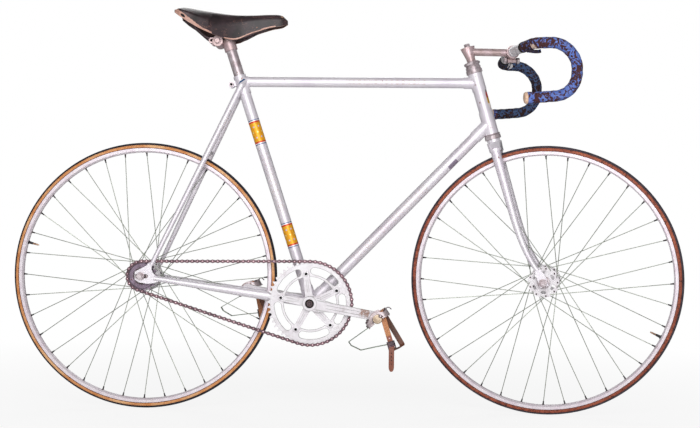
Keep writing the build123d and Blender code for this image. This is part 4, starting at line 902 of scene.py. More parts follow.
def tyre_section():
    """Rows of (across, radius, strip) from one rim edge over the crown to the other."""
    rows = []
    for degree in range(-108, 109, STEP_WIDE):
        lean, out = radians(degree), abs(degree)
        strip = (ON_TREAD if out <= SHOULDER else ON_EDGE if out <= SHOULDER + STEP_WIDE
                 else ON_SIDE if out < SEAM else ON_SEAM)
        reach = CASING + (TREAD - RIB * (degree // STEP_WIDE % 2) if strip == ON_TREAD else 0.0)
        rows.append((reach * sin(lean), TYRE_OUT - CASING_DEPTH + reach * cos(lean), strip))
    return rows


def tyre(name, materials):
    rows, wheel = tyre_section(), wheels[name]
    verts, faces = [], []
    for step in range(STEPS_ROUND):
        angle = 2 * pi * step / STEPS_ROUND
        verts.extend(wheel @ Vector((radius * cos(angle), radius * sin(angle), across))
                     for across, radius, strip in rows)
    count = len(rows)
    for step in range(STEPS_ROUND):
        here, there = step * count, (step + 1) % STEPS_ROUND * count
        for number in range(count):
            after = (number + 1) % count
            strip = rows[number][2] if after else ON_SEAM
            faces.append(([here + number, here + after, there + after, there + number], strip))
    piece(f"{name}_tubular", [(verts, faces)], materials, f"{name}_wheel", hides=(f"{name}_tyre",))


tyre("front", (tread_front, side_front, edge_front, base_tape))
tyre("rear", (tread_rear, side_rear, tread_rear, base_tape))

# %% [markdown]
# Each wheel is laced with 36 spokes, three crossings each. A real spoke has a head, a bend
# where it leaves the flange, a straight run and a nipple. A few points describe it, so one
# loop makes them all, with the button head, the black nipple and its eyelet.

# %% Spokes, nipples and eyelets
FLANGES = {"front": (0.033, 0.033), "rear": (0.029, 0.034)}
HOLE_RADIUS, FLANGE_RADIUS, FLANGE_HALF = 0.034, 0.038, 0.0016
SPOKE, SPOKES_A_SIDE, CROSSING, RIM_STAGGER, CLEAR = 0.00095, 18, 60, 0.0016, 0.00005
HEAD = ((0, 1.7), (0.7, 2.1), (1.2, 1.7), (1.5, 0.0))
NIPPLE = ((0, 2.1), (3.5, 2.1), (4.2, 1.75), (8.8, 1.65), (9.6, 1.3), (9.6, 0))
EYELET = ((0, 3.6), (0.6, 3.8), (1.2, 3.2), (1.2, 2.2), (0, 2.2))
past_rim = sqrt(FLANGE_RADIUS ** 2 - HOLE_RADIUS ** 2) / (RIM_INNER - HOLE_RADIUS)


def lace(name):
    wheel, (right_flange, left_flange) = wheels[name], FLANGES[name]
    out = wheel.to_3x3() @ Vector((0, 0, 1))

    def at(radius, degree, across):
        return wheel @ Vector((radius * cos(radians(degree)), radius * sin(radians(degree)), across))

    wires, heads, nipples, eyelets = [], [], [], []
    for side, (flange, stagger) in enumerate((
            (right_flange, RIM_STAGGER), (-left_flange, -RIM_STAGGER * left_flange / right_flange))):
        for number in range(SPOKES_A_SIDE):
            lead = 1 if number % 2 else -1
            hub_angle = number * 20 + side * 10
            lift = FLANGE_HALF + SPOKE + CLEAR + (abs(flange) * past_rim if lead * flange > 0 else 0.0)
            head, leave, bend = (at(HOLE_RADIUS, hub_angle, flange + lead * reach)
                                 for reach in (-FLANGE_HALF - 0.0006, FLANGE_HALF, lift))
            end = at(RIM_INNER - 0.0003, hub_angle + lead * CROSSING, stagger)
            run = (end - bend).normalized()
            inward = (wheel.translation - end).normalized()
            points = [head, leave, bend + run * 0.0004, bend + run * 0.003, end - run * 0.004, end]
            wires.append(along_path(points, wire_section(SPOKE / MM), run.cross(out)))
            heads.append(turned(head, -out * lead, HEAD, 12, at=-0.6))
            nipples.append(turned(end, -run, NIPPLE, 10, at=-0.5))
            eyelets.append(turned(end, inward, EYELET, 14, at=-0.6))
    body = f"{name}_wheel"
    piece(f"{name}_spoke_wires", wires, spoke_wire, body, hides=(f"{name}_spokes",))
    piece(f"{name}_spoke_heads", heads, dark_steel, body)
    piece(f"{name}_nipples", nipples, black_brass, body)
    piece(f"{name}_eyelets", eyelets, plated_steel, body)


for name in wheels:
    lace(name)

# %% [markdown]
# A racing tyre's valve is a thin threaded stem that comes through the rim between two
# nipples. It has a lock ring against the rim, a thread and a small knurled cap. All of it is
# turned work, and the thread is a row of small steps in the profile.

# %% Valves
VALVE_ANGLE = {"front": -25.0, "rear": 165.0}
THREAD_STEP = 1.1


def valve(name):
    wheel, lean = wheels[name], radians(VALVE_ANGLE[name])
    foot = wheel @ Vector((RIM_INNER * cos(lean), RIM_INNER * sin(lean), 0))
    inward = (wheel.translation - foot).normalized()
    thread = [row for turn in range(7)
              for row in ((10 + turn * THREAD_STEP, 2.6), (10.55 + turn * THREAD_STEP, 2.1))]
    piece(f"{name}_valve", [
        turned(foot, inward, ((0, 5), (2.2, 5), (2.8, 4.2), (2.8, 0)), 24, at=-0.5),
        turned(foot, inward, ((0, 3.4), (9, 3), (11, 2.4), (11, 0)), 20, at=2.2),
        turned(foot, inward, [(9.5, 0)] + thread + [(18, 0)], 18, 1, at=2.2),
        turned(foot, inward, ((0, 0), (0, 2.2), (3.5, 2.4), (6, 1.8), (8.5, 1.2), (8.5, 0)), 16, 1, at=19.5),
    ], (black_brass, brass), f"{name}_wheel")


for name in wheels:
    valve(name)

# %% [markdown]
# Hubs carry small things that say what they are: a dust cap with a gap round the axle that is painted dark as
# shade, a spring clip over the oil hole, serrated washers under the track nuts, and a few turns of bare thread. The
# nuts themselves are CAD.

# %% Hub fittings
HUB_HALF = {"front": 42, "rear": 47}
END_FACE = {"front": 55.05, "rear": 60.55}
AXLE = {"front": 4.5, "rear": 5.0}
NUT_HEIGHT, NUT_FLATS, NUT_THREAD_STEP = 8, 15.6, 0.8


def hub_fittings(name):
    wheel, axle = wheels[name], AXLE[name]
    middle, turn_wheel = wheel.translation, wheel.to_3x3()
    out = turn_wheel @ Vector((0, 0, 1))
    bright, dark, ends = [], [], []
    tip = END_FACE[name] + NUT_HEIGHT
    thread = [(0, axle + 0.1)]
    for turn in range(5):
        thread += [(0.2 + turn * NUT_THREAD_STEP, axle + 0.2), (0.6 + turn * NUT_THREAD_STEP, axle - 0.2)]
    for way in (out, -out):
        bright.append(turned(middle, way, (
            (-1, 15.5), (0.8, 15.2), (1.4, 14), (1.4, 11.2), (-1, 11.2)), 40, at=HUB_HALF[name]))
        # The ring in the gap round the axle is painted dark as shade.
        dark.append(turned(middle, way, (
            (-0.5, 11.2), (0.4, 11), (0.4, axle + 0.6), (-0.5, axle + 0.6)), 36, 1, HUB_HALF[name]))
        ends += [
            turned(middle, way, ((0, 10.1), (1, 10.3), (1.4, 9.6), (1.4, 9)), 30, at=END_FACE[name] + 0.1),
            turned(middle, way, thread, 24, at=tip),
            turned(middle, way, (
                (-0.4, NUT_FLATS / 2 - 0.2), (0.4, NUT_FLATS / 2 - 1.2), (0.4, axle + 0.2)), 30, at=tip),
        ]
    clip = turned(middle, out, ((0, 15.1), (0, 15.9), (10, 15.9), (10, 15.1)), 48, at=-5)
    lip = turned(middle, turn_wheel @ Vector((0, 1, 0)), ((15.5, 4.2), (16.8, 4), (17.2, 3), (17.2, 0)), 20)
    body = f"{name}_wheel"
    piece(f"{name}_hub_fittings", bright + dark + [clip, lip], (plated_steel, painted_shade), body)
    piece(f"{name}_axle_threads", ends, plated_steel, body)


for name in wheels:
    hub_fittings(name)

# %% [markdown]
# ## Chain and sprocket
# The CAD chain is a plain band. The real one is 102 links of half an inch, with inner and
# outer pairs of waisted plates, and a riveted pin and a roller at each joint. The rollers
# that the teeth hide are left out, since this loop doesn't run when the ring turns. The place
# of a joint is the same rule that the CAD model uses: a straight run, the turn round the
# sprocket, the second run, and the turn round the chainring.

# %% Roller chain
PITCH, RING_TEETH, SPROCKET_TEETH, LINKS, CHAIN_LINE = 0.0127, 51, 18, 102, 0.042
INNER_PLATES, OUTER_PLATES, PIN_END, ROLLER_HALF = 0.00245, 0.00355, 0.0040, 0.0017
PLATE_THICK, PLATE_HIGH, PLATE_WAIST = 0.001, 0.0045, 0.0026
hub_from_bracket = Vector((rear_axle.x - bracket.x, rear_axle.z - bracket.z))
ring_radius, sprocket_radius = (PITCH / 2 / sin(pi / teeth) for teeth in (RING_TEETH, SPROCKET_TEETH))
drive_lean = atan2(hub_from_bracket.y, -hub_from_bracket.x)
wrap = asin((ring_radius - sprocket_radius) / hub_from_bracket.length)
run_links = sqrt(hub_from_bracket.length ** 2 - (ring_radius - sprocket_radius) ** 2) / PITCH
upper_angle, lower_angle = pi / 2 - drive_lean + wrap, -pi / 2 - drive_lean - wrap
sprocket_links = (pi - 2 * wrap) / (2 * pi) * SPROCKET_TEETH


def flat_unit(angle):
    return Vector((cos(angle), sin(angle)))


def chain_place(link):
    upper, lower = flat_unit(upper_angle), flat_unit(lower_angle)
    if link < run_links:
        return (upper * ring_radius).lerp(hub_from_bracket + upper * sprocket_radius, link / run_links)
    link -= run_links
    if link < sprocket_links:
        return hub_from_bracket + flat_unit(upper_angle + link * 2 * pi / SPROCKET_TEETH) * sprocket_radius
    link -= sprocket_links
    if link < run_links:
        return (hub_from_bracket + lower * sprocket_radius).lerp(lower * ring_radius, link / run_links)
    return flat_unit(lower_angle + (link - run_links) * 2 * pi / RING_TEETH) * ring_radius


def in_drive(point, out):
    """A point of the drive's plane, in metres from the bracket, at a distance to the right."""
    return Vector((bracket.x + point.x, -out, bracket.z + point.y))


def link_plate(first, second, out):
    along = (second - first).normalized()
    normal = Vector((-along.y, along.x))
    outline = []
    for end, way in ((second, 1), (first, -1)):
        for spread in map(radians, (-80, -45, 0, 45, 80)):
            outline.append(end + (along * cos(spread) + normal * sin(spread)) * way * PLATE_HIGH)
        outline.append((first + second) / 2 + normal * way * PLATE_WAIST)
    return skin([[in_drive(point, out + shift) for point in outline]
                 for shift in (-PLATE_THICK / 2, PLATE_THICK / 2)])


joints_at = [chain_place(number) for number in range(LINKS)]
plates, pins, rollers = [], [], []
for number, first in enumerate(joints_at):
    for side in (-1, 1):
        reach = INNER_PLATES if number % 2 else OUTER_PLATES
        plates.append(link_plate(first, joints_at[(number + 1) % LINKS], CHAIN_LINE + side * reach))
        pins.append(turned(in_drive(first, CHAIN_LINE + side * PIN_END), RIGHT * side,
                           ((0, 1.9), (0.4, 1.8), (0.6, 1.2), (0.6, 0)), 10))
    on_upper = 2 < number < run_links - 2
    on_lower = 2 < number - run_links - sprocket_links < run_links - 2
    if on_upper or on_lower:
        rollers.append(turned(in_drive(first, CHAIN_LINE - ROLLER_HALF), RIGHT,
                              ((0, 0), (0, 3.7), (3.4, 3.7), (3.4, 0)), 12))
piece("chain_links", plates, chain_steel, "frame", hides=("chain",))
piece("chain_pins", pins, pin_steel, "frame")
piece("chain_rollers", rollers, dark_steel, "frame")

# %% [markdown]
# Five bolts hold the ring to the spider. Each is a sleeve nut with a slotted bolt, sunk in a counterbore whose
# floor is painted dark as shade. The crank is held by a nut down a threaded recess, and the left cup of the bracket
# by a ring with six notches; the walls of the recess and the notches are painted dark as shade too.

# %% Ring bolts, crank nuts and lockring
CRANK_LENGTH, CRANK_OUT, CUP_OUT, NOTCHES_OUT = 0.170, 64, 34.2, 22.2
BOLT_CIRCLE, SPIDER_FACE = 0.073, 0.04815
bolts, fittings = [], []
for number in range(5):
    face = in_drive(flat_unit(CRANK_ANGLE + radians(36 + 72 * number)) * BOLT_CIRCLE, SPIDER_FACE)
    bolts += [
        turned(face, RIGHT, ((-1, 6.6), (0.9, 6.4), (1.2, 5.8), (1.2, 3.6)), 28, 0),
        turned(face, RIGHT, ((1.2, 3.6), (0.2, 3.4), (0.2, 2.4)), 24, 1),
        turned(face, RIGHT, ((0.2, 2.4), (0.6, 2.2), (0.6, 0)), 6, 2),
    ]
# The second finish is painted shade in the counterbores.
piece("ring_bolts", bolts, (polished_alloy, painted_shade, dark_steel), "crank")
for way, out in ((1, RIGHT), (-1, LEFT)):
    recess = CRANK_OUT - 5
    eye = bracket + facing(CRANK_ANGLE) * CRANK_LENGTH * way
    fittings += [
        turned(bracket, out, ((0.1, 0), (0.1, 11.1), (4.6, 11.1), (4.6, 10.3), (0.4, 10), (0.4, 0)), 36, 1, recess),
        hexagon(bracket, out, 3.4, 13.5, at=recess + 0.4, turn=0.3),
        turned(bracket, out, ((-0.1, 4.6), (0.3, 4.4), (0.3, 3), (-0.1, 3)), 20, 1, recess + 3.8),
        turned(eye, out, ((0, 8.5), (1, 8.5), (1, 5.6), (0, 5.6)), 28, at=CRANK_OUT + 0.1),
    ]
# The second finish is painted shade in the recesses.
piece("crank_nuts", fittings, (brass, painted_shade), "crank")
lockring = [turned(bracket, LEFT, ((0, 19), (0, 22.2), (2.6, 22.2), (3, 21.6), (3, 19)), 48, at=CUP_OUT)]
lockring += [turned(bracket + facing(number * pi / 3) * NOTCHES_OUT * MM, LEFT,
                    ((0, 0), (0, 1.9), (3.1, 1.9), (3.1, 0)), 10, 1, CUP_OUT + 0.1) for number in range(6)]
# The notches take the painted shade.
piece("bracket_lockring", lockring, (plated_steel, painted_shade), "frame")

# %% [markdown]
# ## Pedals
# The pedals hang upside down under the weight of their clips. A quill cage is one strip of
# steel bent to a rounded ring round the barrel, with an arch at each end where it dips. The
# near one shows a tan dust cap, a dark nut behind it and dark prongs at the cage's corners.

# %% Pedal cages
PEDAL_ANGLE = {"right": radians(-144.5), "left": radians(-150.0)}
PEDAL_START, PEDAL_WIDE, CAGE_HALF, CAGE_HIGH, CAGE_WALL = 67, 80, 29.5, 15, 2.2
CORNER, ARCH_HALF, ARCH_DROP, ARCH_HIGH, BARREL, BARREL_LONG = 12.5, 16.5, 13.5, 2.8, 9.5, 55
TEETH, TOOTH_STEP = 11, 6.8
STRAP_WIDE, STRAP_THICK = 13, 2.2
CAGE_BARREL = ((0, 5.3), (0, 11.2), (4, 11.4), (6, 9.6), (10, 8.8), (33, 8.4), (50, 8.8), (60, 10.4), (70, 10.8),
               (74, 10.8), (74, 5.3))


def pedal_places(name, way):
    """Directions of a pedal, and a function for places in it, in millimetres."""
    out, front, upward = RIGHT * way, facing(PEDAL_ANGLE[name]), facing(PEDAL_ANGLE[name] + pi / 2)
    eye = bracket + facing(CRANK_ANGLE) * CRANK_LENGTH * way

    def at(forward, up, sideways):
        return eye + (front * forward + upward * up + out * (PEDAL_START + sideways)) * MM

    return out, front, upward, at


def pedal_cage(name, way):
    out, front, upward, at = pedal_places(name, way)
    half, wide = CAGE_HALF - CAGE_WALL / 2, (PEDAL_WIDE - CAGE_WALL) / 2
    straight, ring, rows = half - CORNER, [], []
    for quarter, (u_sign, v_sign) in enumerate(((1, 1), (-1, 1), (-1, -1), (1, -1))):
        for degree in range(0, 91, 15):
            spread = radians(90 * quarter + degree)
            ring.append((u_sign * straight + CORNER * cos(spread), v_sign * (wide - CORNER) + CORNER * sin(spread),
                         cos(spread), sin(spread)))
        if quarter % 2 == 0:
            ring += [(u_sign * straight * (1 - k / 12), u_sign * wide, 0.0, u_sign) for k in range(1, 24)]
    for u, v, normal_u, normal_v in ring:
        arch = sqrt(1 - (u / ARCH_HALF) ** 2) if abs(v) > wide - 0.01 and abs(u) < ARCH_HALF else 0.0
        tall = CAGE_HIGH / 2 - (CAGE_HIGH / 2 - ARCH_HIGH) * arch
        spot = at(u, -ARCH_DROP * arch, PEDAL_WIDE / 2 + v)
        normal = (front * normal_u + out * normal_v) * CAGE_WALL / 2
        rows.append([spot + (upward * tall * rise + normal * side) * MM
                     for rise, side in ((-1, -1), (-1, 1), (1, 1), (1, -1))])
    bars = [skin(rows, closed=True)]
    for v in (1.2, PEDAL_WIDE - 1.2):
        for side in (-1, 1):
            tongue = [at(side * u, 4.5, v) for u in (straight + 4, 11.8)]
            bars.append(along_path(tongue, strap_section(4, CAGE_WALL), upward))
    bars.append(along_path([at(-half, 0, BARREL_LONG), at(half, 0, BARREL_LONG)],
                           strap_section(10, CAGE_WALL), upward))
    bars.append(turned(at(0, 0, 0.2), out, CAGE_BARREL, 40))
    piece(f"pedal_cage_{name}", bars, cage_steel, f"pedal_{name}", hides=(f"pedal_{name}",))


def pedal_fittings(name, way):
    out, front, upward, at = pedal_places(name, way)
    cap_at = at(0, 0, 74.1)
    small = [
        turned(cap_at, out, ((0, 10.6), (0.8, 11.2), (3, 11.2), (4.2, 10.4), (4.8, 6), (5, 0)), 36, 0),
        turned(cap_at, out, ((1, 11.25), (1.6, 11.6), (2.2, 11.25)), 36, 1),
        turned(at(-10.2, -1.8, 70), out, ((0, 0), (0, 4.6), (8.5, 4.6), (9.5, 3.8), (9.5, 0)), 24, 1),
        turned(at(-10.2, -1.8, 79.6), out, ((0, 2.4), (0.4, 2.2), (0.6, 0)), 16, 2),
    ]
    for ahead in (-1, 1):
        for tooth in range(TEETH):
            base = at(ahead * (CAGE_HALF - 1.1), CAGE_HIGH / 2 - 0.4, 6 + TOOTH_STEP * tooth)
            small.append(skin([[base + (front * u * 0.9 + out * v * 2.4 * scale + upward * rise) * MM
                                for u, v in ((1, 1), (-1, 1), (-1, -1), (1, -1))]
                               for rise, scale in ((0, 1), (2.4, 0.25))], paint=2))
        for sideways in (4, PEDAL_WIDE - 4):
            prong = at(ahead * (CAGE_HALF - 4), 1 - CAGE_HIGH / 2, sideways)
            small.append(turned(prong, -upward, ((0, 3.4), (2.2, 3.4), (3, 2.6), (3, 0)), 14, 1))
    hook = [at(forward - CAGE_HALF, up - CAGE_HIGH / 2, 58)
            for forward, up in ((2, 2), (-4, -2), (-9, 1), (-11, 8))]
    small.append(along_path(rounded(hook, (0.003, 0.003), 0.002), strap_section(10, 1.8), out, 1))
    piece(f"pedal_fittings_{name}", small, (cap_alloy, dark_steel, cage_steel), f"pedal_{name}")
    bolts = [turned(at(CAGE_HALF - 1, 3.5, PEDAL_WIDE / 2 + shift), front,
                    ((0, 3.8), (4.2, 3.8), (5.2, 3), (5.4, 0)), 18) for shift in (-4.5, 4.5)]
    piece(f"toe_clip_bolts_{name}", bolts, dark_steel, f"pedal_{name}")

# %% [markdown]
# A strap runs through the cage, up both sides, through the clip and a spring buckle, and its
# tail hangs down. The buckle is a wire frame with a pressed plate, a roller and a rivet.

# %% Toe straps
STRAP_TOP, STRAP_SLACK, STRAP_LEAN, STRAP_BELOW, STRAP_IN = 83, 8, tan(radians(20.0)), -8.9, 6.6
BUCKLE_HALF, WIRE, TAIL, HOLE_STEP = 8.5, 1.3, 62, 8.5
TAIL_SCALES = [1.0] * 17 + [0.97, 0.90, 0.74, 0.40]


def toe_strap(name, way):
    out, front, upward, at = pedal_places(name, way)
    body, flat = f"pedal_{name}", strap_section(STRAP_WIDE, STRAP_THICK)
    rear, outer = -(BARREL + 2 + STRAP_WIDE / 2), BARREL_LONG + STRAP_IN + STRAP_THICK
    foot_in, foot_out = at(rear, STRAP_BELOW, STRAP_IN), at(rear, STRAP_BELOW, outer)
    high_out = at(rear + STRAP_TOP * STRAP_LEAN, STRAP_TOP, outer)
    high_in = at(rear + STRAP_WIDE / 2, STRAP_TOP + STRAP_SLACK, STRAP_IN + STRAP_WIDE)
    near = along_path(rounded([foot_in, foot_out, high_out], [0.004], 0.004), flat, front, 0)
    far = along_path(rounded([high_out, high_in, foot_in], [0.006], 0.004), flat, front, 1)
    piece(f"strap_band_{name}", [near, far], (tan_strap, dark_strap), body,
          hides=(f"toe_strap_{name}",))

    down = (high_out - foot_out).normalized()
    wide = (front - down * front.dot(down)).normalized()

    def on_buckle(across, along, lift):
        return high_out + (wide * across + down * (along - STRAP_WIDE) + out * (lift + STRAP_THICK * 1.2)) * MM

    frame_line = [on_buckle(u * BUCKLE_HALF, v * BUCKLE_HALF, 0) for u, v in ((-1, -1), (1, -1), (1, 1), (-1, 1))]
    parts = [along_path([a, b], wire_section(WIRE), out)
             for a, b in zip(frame_line, frame_line[1:] + frame_line[:1])]
    parts += [turned(corner, out, ((0, 0), (0, 1.5), (2.6, 1.5), (2.6, 0)), 10, at=-WIRE) for corner in frame_line]
    parts += [
        skin([[on_buckle(u, v, lift) for u, lift in ((-7.2, 0.6), (7.2, 0.6), (7.2, -0.4), (-7.2, -0.4))]
              for v in (-7.5, -2, 0.8)]),
        turned(on_buckle(-8, 2, 1.4), wide, ((0, 0), (0, 2.3), (16, 2.3), (16, 0)), 14, 1),
        turned(on_buckle(0, -16.5, 0.4), out, ((-1, 3), (0.4, 3), (1.2, 2), (1.5, 0)), 18, 2),
    ]
    piece(f"strap_buckle_{name}", parts, (dark_steel, chain_steel, pin_steel), body)

    keeper = [on_buckle(0, -along, 0.8) for along in (10, 16.5, 23)]
    top = on_buckle(0, 1, 1.6)
    tail = [top + (out * 1.2 * sin(pi * n / 20) - UP * TAIL * n / 20) * MM for n in range(21)]
    loops = [along_path(keeper, strap_section(12.5, 1.6), wide), along_path(tail, flat, front, 0, TAIL_SCALES)]
    piece(f"strap_tail_{name}", loops, red_strap, body)
    # The holes in the tail are dark discs: painted shade where the holes are.
    holes = [turned(top - UP * (18 + HOLE_STEP * number) * MM, out, ((0, 1.3), (0.3, 1.3), (0.3, 0)), 12,
                    at=STRAP_THICK / 2 + 0.9) for number in range(4)]
    piece(f"strap_holes_{name}", holes, painted_shade, body)


for name, way in (("right", 1), ("left", -1)):
    pedal_cage(name, way)
    pedal_fittings(name, way)
    toe_strap(name, way)

# %% [markdown]
# ## Handlebar tape
# The tape is a strip that is wound so that each turn laps the one before. A helix on a tube
# does that: the radius grows along each turn and drops at its edge. The sweep follows the
# bar's own bends, with the same corners and radii as the CAD model.

# %% Wound tape
STEM_TOP, STEM_RISE, STEM_REACH = 0.5715, 0.025, 0.108
BAR_HALF, BAR_REACH, HOOK, TAPE, SLEEVE_END, TAPE_START, BAR_TAIL = 0.198, 0.112, 0.062, 0.0136, 0.034, 0.100, 0.055
LAP, LAP_THICK, TAPE_STEPS, BLACK_ROWS = 0.0130, 0.0009, 28, 8
stem_origin = steer_foot + head_dir * (STEM_TOP + STEM_RISE)
reach_dir = Vector((bars_forward.x, bars_forward.y, 0)).normalized()
clamp_centre = stem_origin + reach_dir * STEM_REACH
bar_left = UP.cross(reach_dir)


def bar_line(side):
    return [clamp_centre + reach_dir * forward + bar_left * side * sideways + UP * up for forward, sideways, up in (
        (0, SLEEVE_END * 0.4, 0), (0, SLEEVE_END * 1.2, 0), (HOOK * 0.25, BAR_HALF, -TAPE * 0.3),
        (BAR_REACH, BAR_HALF, -TAPE * 0.3), (BAR_REACH, BAR_HALF, -HOOK * 2),
        (BAR_REACH - HOOK - BAR_TAIL, BAR_HALF, -HOOK * 2 - TAPE * 0.7))]


def wound(name, side, material):
    whole = rounded(bar_line(side), [BAR_HALF * 0.35, 0.039, HOOK * 0.985, HOOK * 0.9], 0.0016)
    line = [point for point in whole if (point - clamp_centre).dot(bar_left) * side > TAPE_START]
    rows, travelled, first = [], 0.0, UP
    for number, point in enumerate(line):
        before, after = line[max(number - 1, 0)], line[min(number + 1, len(line) - 1)]
        travelled += (point - before).length
        run = (after - before).normalized()
        first = (first - run * first.dot(run)).normalized()
        second = run.cross(first)
        row = []
        for step in range(TAPE_STEPS):
            angle = 2 * pi * step / TAPE_STEPS
            share = (travelled / LAP + side * step / TAPE_STEPS) % 1.0
            lapped = LAP_THICK * min(share / 0.12, 1.0) * (1 - 0.35 * share)
            wobble = 0.00025 * sin(travelled * 310 + 2 * angle) + 0.0002 * sin(travelled * 97 + 3.1 * angle)
            radius = TAPE - LAP_THICK + lapped - 0.0003 + wobble
            row.append(point + (first * cos(angle) + second * sin(angle)) * radius)
        rows.append(row)
    verts, faces = skin(rows)
    faces = [(face, 1 if face[0] < BLACK_ROWS * TAPE_STEPS else 0) for face, _ in faces]
    piece(f"wound_tape_{name}", [(verts, faces)], (material, black_tape), "fork",
          hides=(f"bar_tape_{name}",), angle=60)


wound("right", -1, blue_tape)
# The far side's winding takes the darker tape, as painted shade.
wound("left", 1, far_tape_painted_shade)

# %% [markdown]
# The near winding has come loose, and its end sticks out under the bar. A last turn of tape
# holds each end down, and a domed plug closes the bar.

# %% Loose end, finishing turns and plugs
under = clamp_centre + reach_dir * 0.0150 - bar_left * 0.1640 - UP * (TAPE * 1.3 + 0.0012)
loose = [under + (reach_dir * forward - UP * drop + RIGHT * out) * MM for forward, drop, out in
         ((-14, 0, 0), (-8, 1.2, 4), (4, 2.6, 6), (13, 2.2, 5), (18.5, 0, 1))]
loose_line = rounded(loose, [0.004] * 3, 0.0015)
piece("loose_tape_end", [along_path(loose_line, strap_section(8.5, 1.6), UP)], loose_tape, "fork")
turns, plugs = [], []
for side in (-1, 1):
    before, last = bar_line(side)[-2:]
    along = last - before
    turns.append(turned(last, along, ((0, 13.45), (0.4, 13.9), (8, 13.9), (8.6, 13.4)), 36, at=-9))
    plugs.append(turned(last, along, (
        (0, 13.65), (1.8, 14.1), (3.4, 13.8), (6.4, 12), (7.8, 8), (8.1, 4), (7.4, 0)), 36, at=0.2))
piece("tape_finish_bands", turns, blue_tape, "fork")
piece("plug_caps", plugs, cream_resin, "fork", hides=("bar_plugs",))

# %% [markdown]
# The stem is clamped by a bolt under the bar and held in the fork by a long bolt from the top.
# Both have hexagons. The headset has a lock nut with a keyed washer, and each cup has a
# thin edge.

# %% Stem and headset hardware
RACE_LOW, STACK, STACK_INNER, LIP = 549.75, 31.5, 15.8, 0.6
stem_parts = [
    turned(stem_origin, head_dir, ((-0.4, 9.5), (1.2, 9.5), (1.6, 8.8), (1.6, 5.8)), 28, at=11),
    hexagon(stem_origin, head_dir, 7.2, 13, at=12.6, turn=0.25),
]
for way in (reach_dir, -reach_dir):
    pinch = clamp_centre - UP * 0.0193
    stem_parts.append(hexagon(pinch, way, 6, 12.8, at=13.5, turn=0.2))
    stem_parts.append(turned(pinch, way, ((0, 5.8), (0, 7.4), (2.2, 7.4), (2.2, 5.8)), 24, 1, 11.1))
piece("stem_bolts", stem_parts, (plated_steel, dark_steel), "fork")
rings = [turned(steer_foot, head_dir, (
    (0, STACK_INNER), (0, radius - LIP), (LIP, radius), (high - LIP, radius), (high, radius - LIP),
    (high, STACK_INNER)), 40, at=RACE_LOW + STACK * share)
    for share, radius, high in ((0.045, 18.8, 1.6), (0.17, 19, 1.6), (0.30, 17.6, 1.8), (0.50, 18.7, 2))]
rings.append(turned(steer_foot, head_dir, (
    (0, STACK_INNER), (0, 19.6), (1.2, 20), (4.8, 20), (5.8, 19.2), (5.8, STACK_INNER)), 8,
    at=RACE_LOW + STACK * 0.42))
piece("headset_rings", rings, plated_steel, "fork")
cup_rims = [turned(steer_foot, head_dir, ((0, 19), (0.1, 20.1), (0.8, 20.3), (1.5, 20.1), (1.6, 19)), 48, at=along)
            for along in (383, 374.5, 541.5, 547.5)]
piece("headset_cup_rims", cup_rims, plated_steel, "frame")

# %% [markdown]
# The head tube carries a plain enamelled plate at its front, in enamel colours that have chipped. The seat lug has
# a binder bolt whose socket is painted dark as shade.

# %% Head plate and binder bolt
PLATE_START, PLATE_LONG, PLATE_ROWS, PLATE_STEPS = 0.4450, 0.052, 14, 12
plate_lines = []
for step in range(PLATE_ROWS + 1):
    share = step / PLATE_ROWS
    half_turn = radians(46) * (1 - (2 * share - 1) ** 4) ** 0.5 + radians(3)
    middle = steer_foot + head_dir * (PLATE_START + PLATE_LONG * share)
    leans = [half_turn * (2 * k / PLATE_STEPS - 1) for k in range(PLATE_STEPS + 1)]
    plate_lines.append([middle + (head_forward * cos(lean) + LEFT * sin(lean)) * radius
                       for radius, order in ((0.01645, leans), (0.01595, leans[::-1])) for lean in order])
verts, faces = skin(plate_lines)
banded = [(face, min(3, min(face) // (2 * PLATE_STEPS + 2) // 4)) for face, _ in faces]
plate_tones = tuple(plain_resin(name, tone, second, 0.4) for name, tone, second in (
    ("plate_white", (236, 226, 218), (220, 206, 198)), ("plate_yellow", (222, 176, 60), (196, 148, 50)),
    ("plate_red", (188, 58, 52), (160, 44, 44)), ("plate_dark", (50, 48, 54), (38, 36, 42))))
piece("head_plate", [(verts, banded)], plate_tones, "frame")
binder = seat_node + Vector((-seat_dir.z, 0, seat_dir.x)) * 0.025
bolt_parts = []
for out in (RIGHT, LEFT):
    bolt_parts.append(turned(binder, out, ((-0.4, 6.2), (2.8, 6.2), (3.6, 5.4), (3.6, 3.6)), 28, 0, 9))
    bolt_parts.append(turned(binder, out, ((3.6, 3.6), (1, 3.4), (1, 0)), 6, 1, 9))
# The socket takes the painted shade.
piece("binder_bolt", bolt_parts, (plated_steel, painted_shade), "frame")

# %% [markdown]
# ## Saddle
# A leather saddle is one hide, wetted and moulded over a form, then riveted to a steel
# arch at the back and a nose piece. The skin here is a grid over the CAD model's eight
# sections with smooth steps between them. The hide is thick, so it has an outer and an
# inner face with a cut edge between them, and that cut edge is worn to bare tan.

# %% Moulded leather top
SADDLE, HIDE_THICK, SIT_SHARE, FLANK, FLANK_SPREAD = 0.284, 0.0045, 0.2852, 0.30, 0.96
sections = ((0.035, 0.21, -0.004, -0.045), (0.10, 0.27, 0.022, -0.095), (0.28, 0.235, -0.002, -0.195),
            (0.53, 0.125, -0.032, -0.265), (0.70, 0.080, -0.034, -0.200), (0.86, 0.070, -0.028, -0.150),
            (0.95, 0.058, -0.036, -0.135), (1.00, 0.032, -0.078, -0.112))


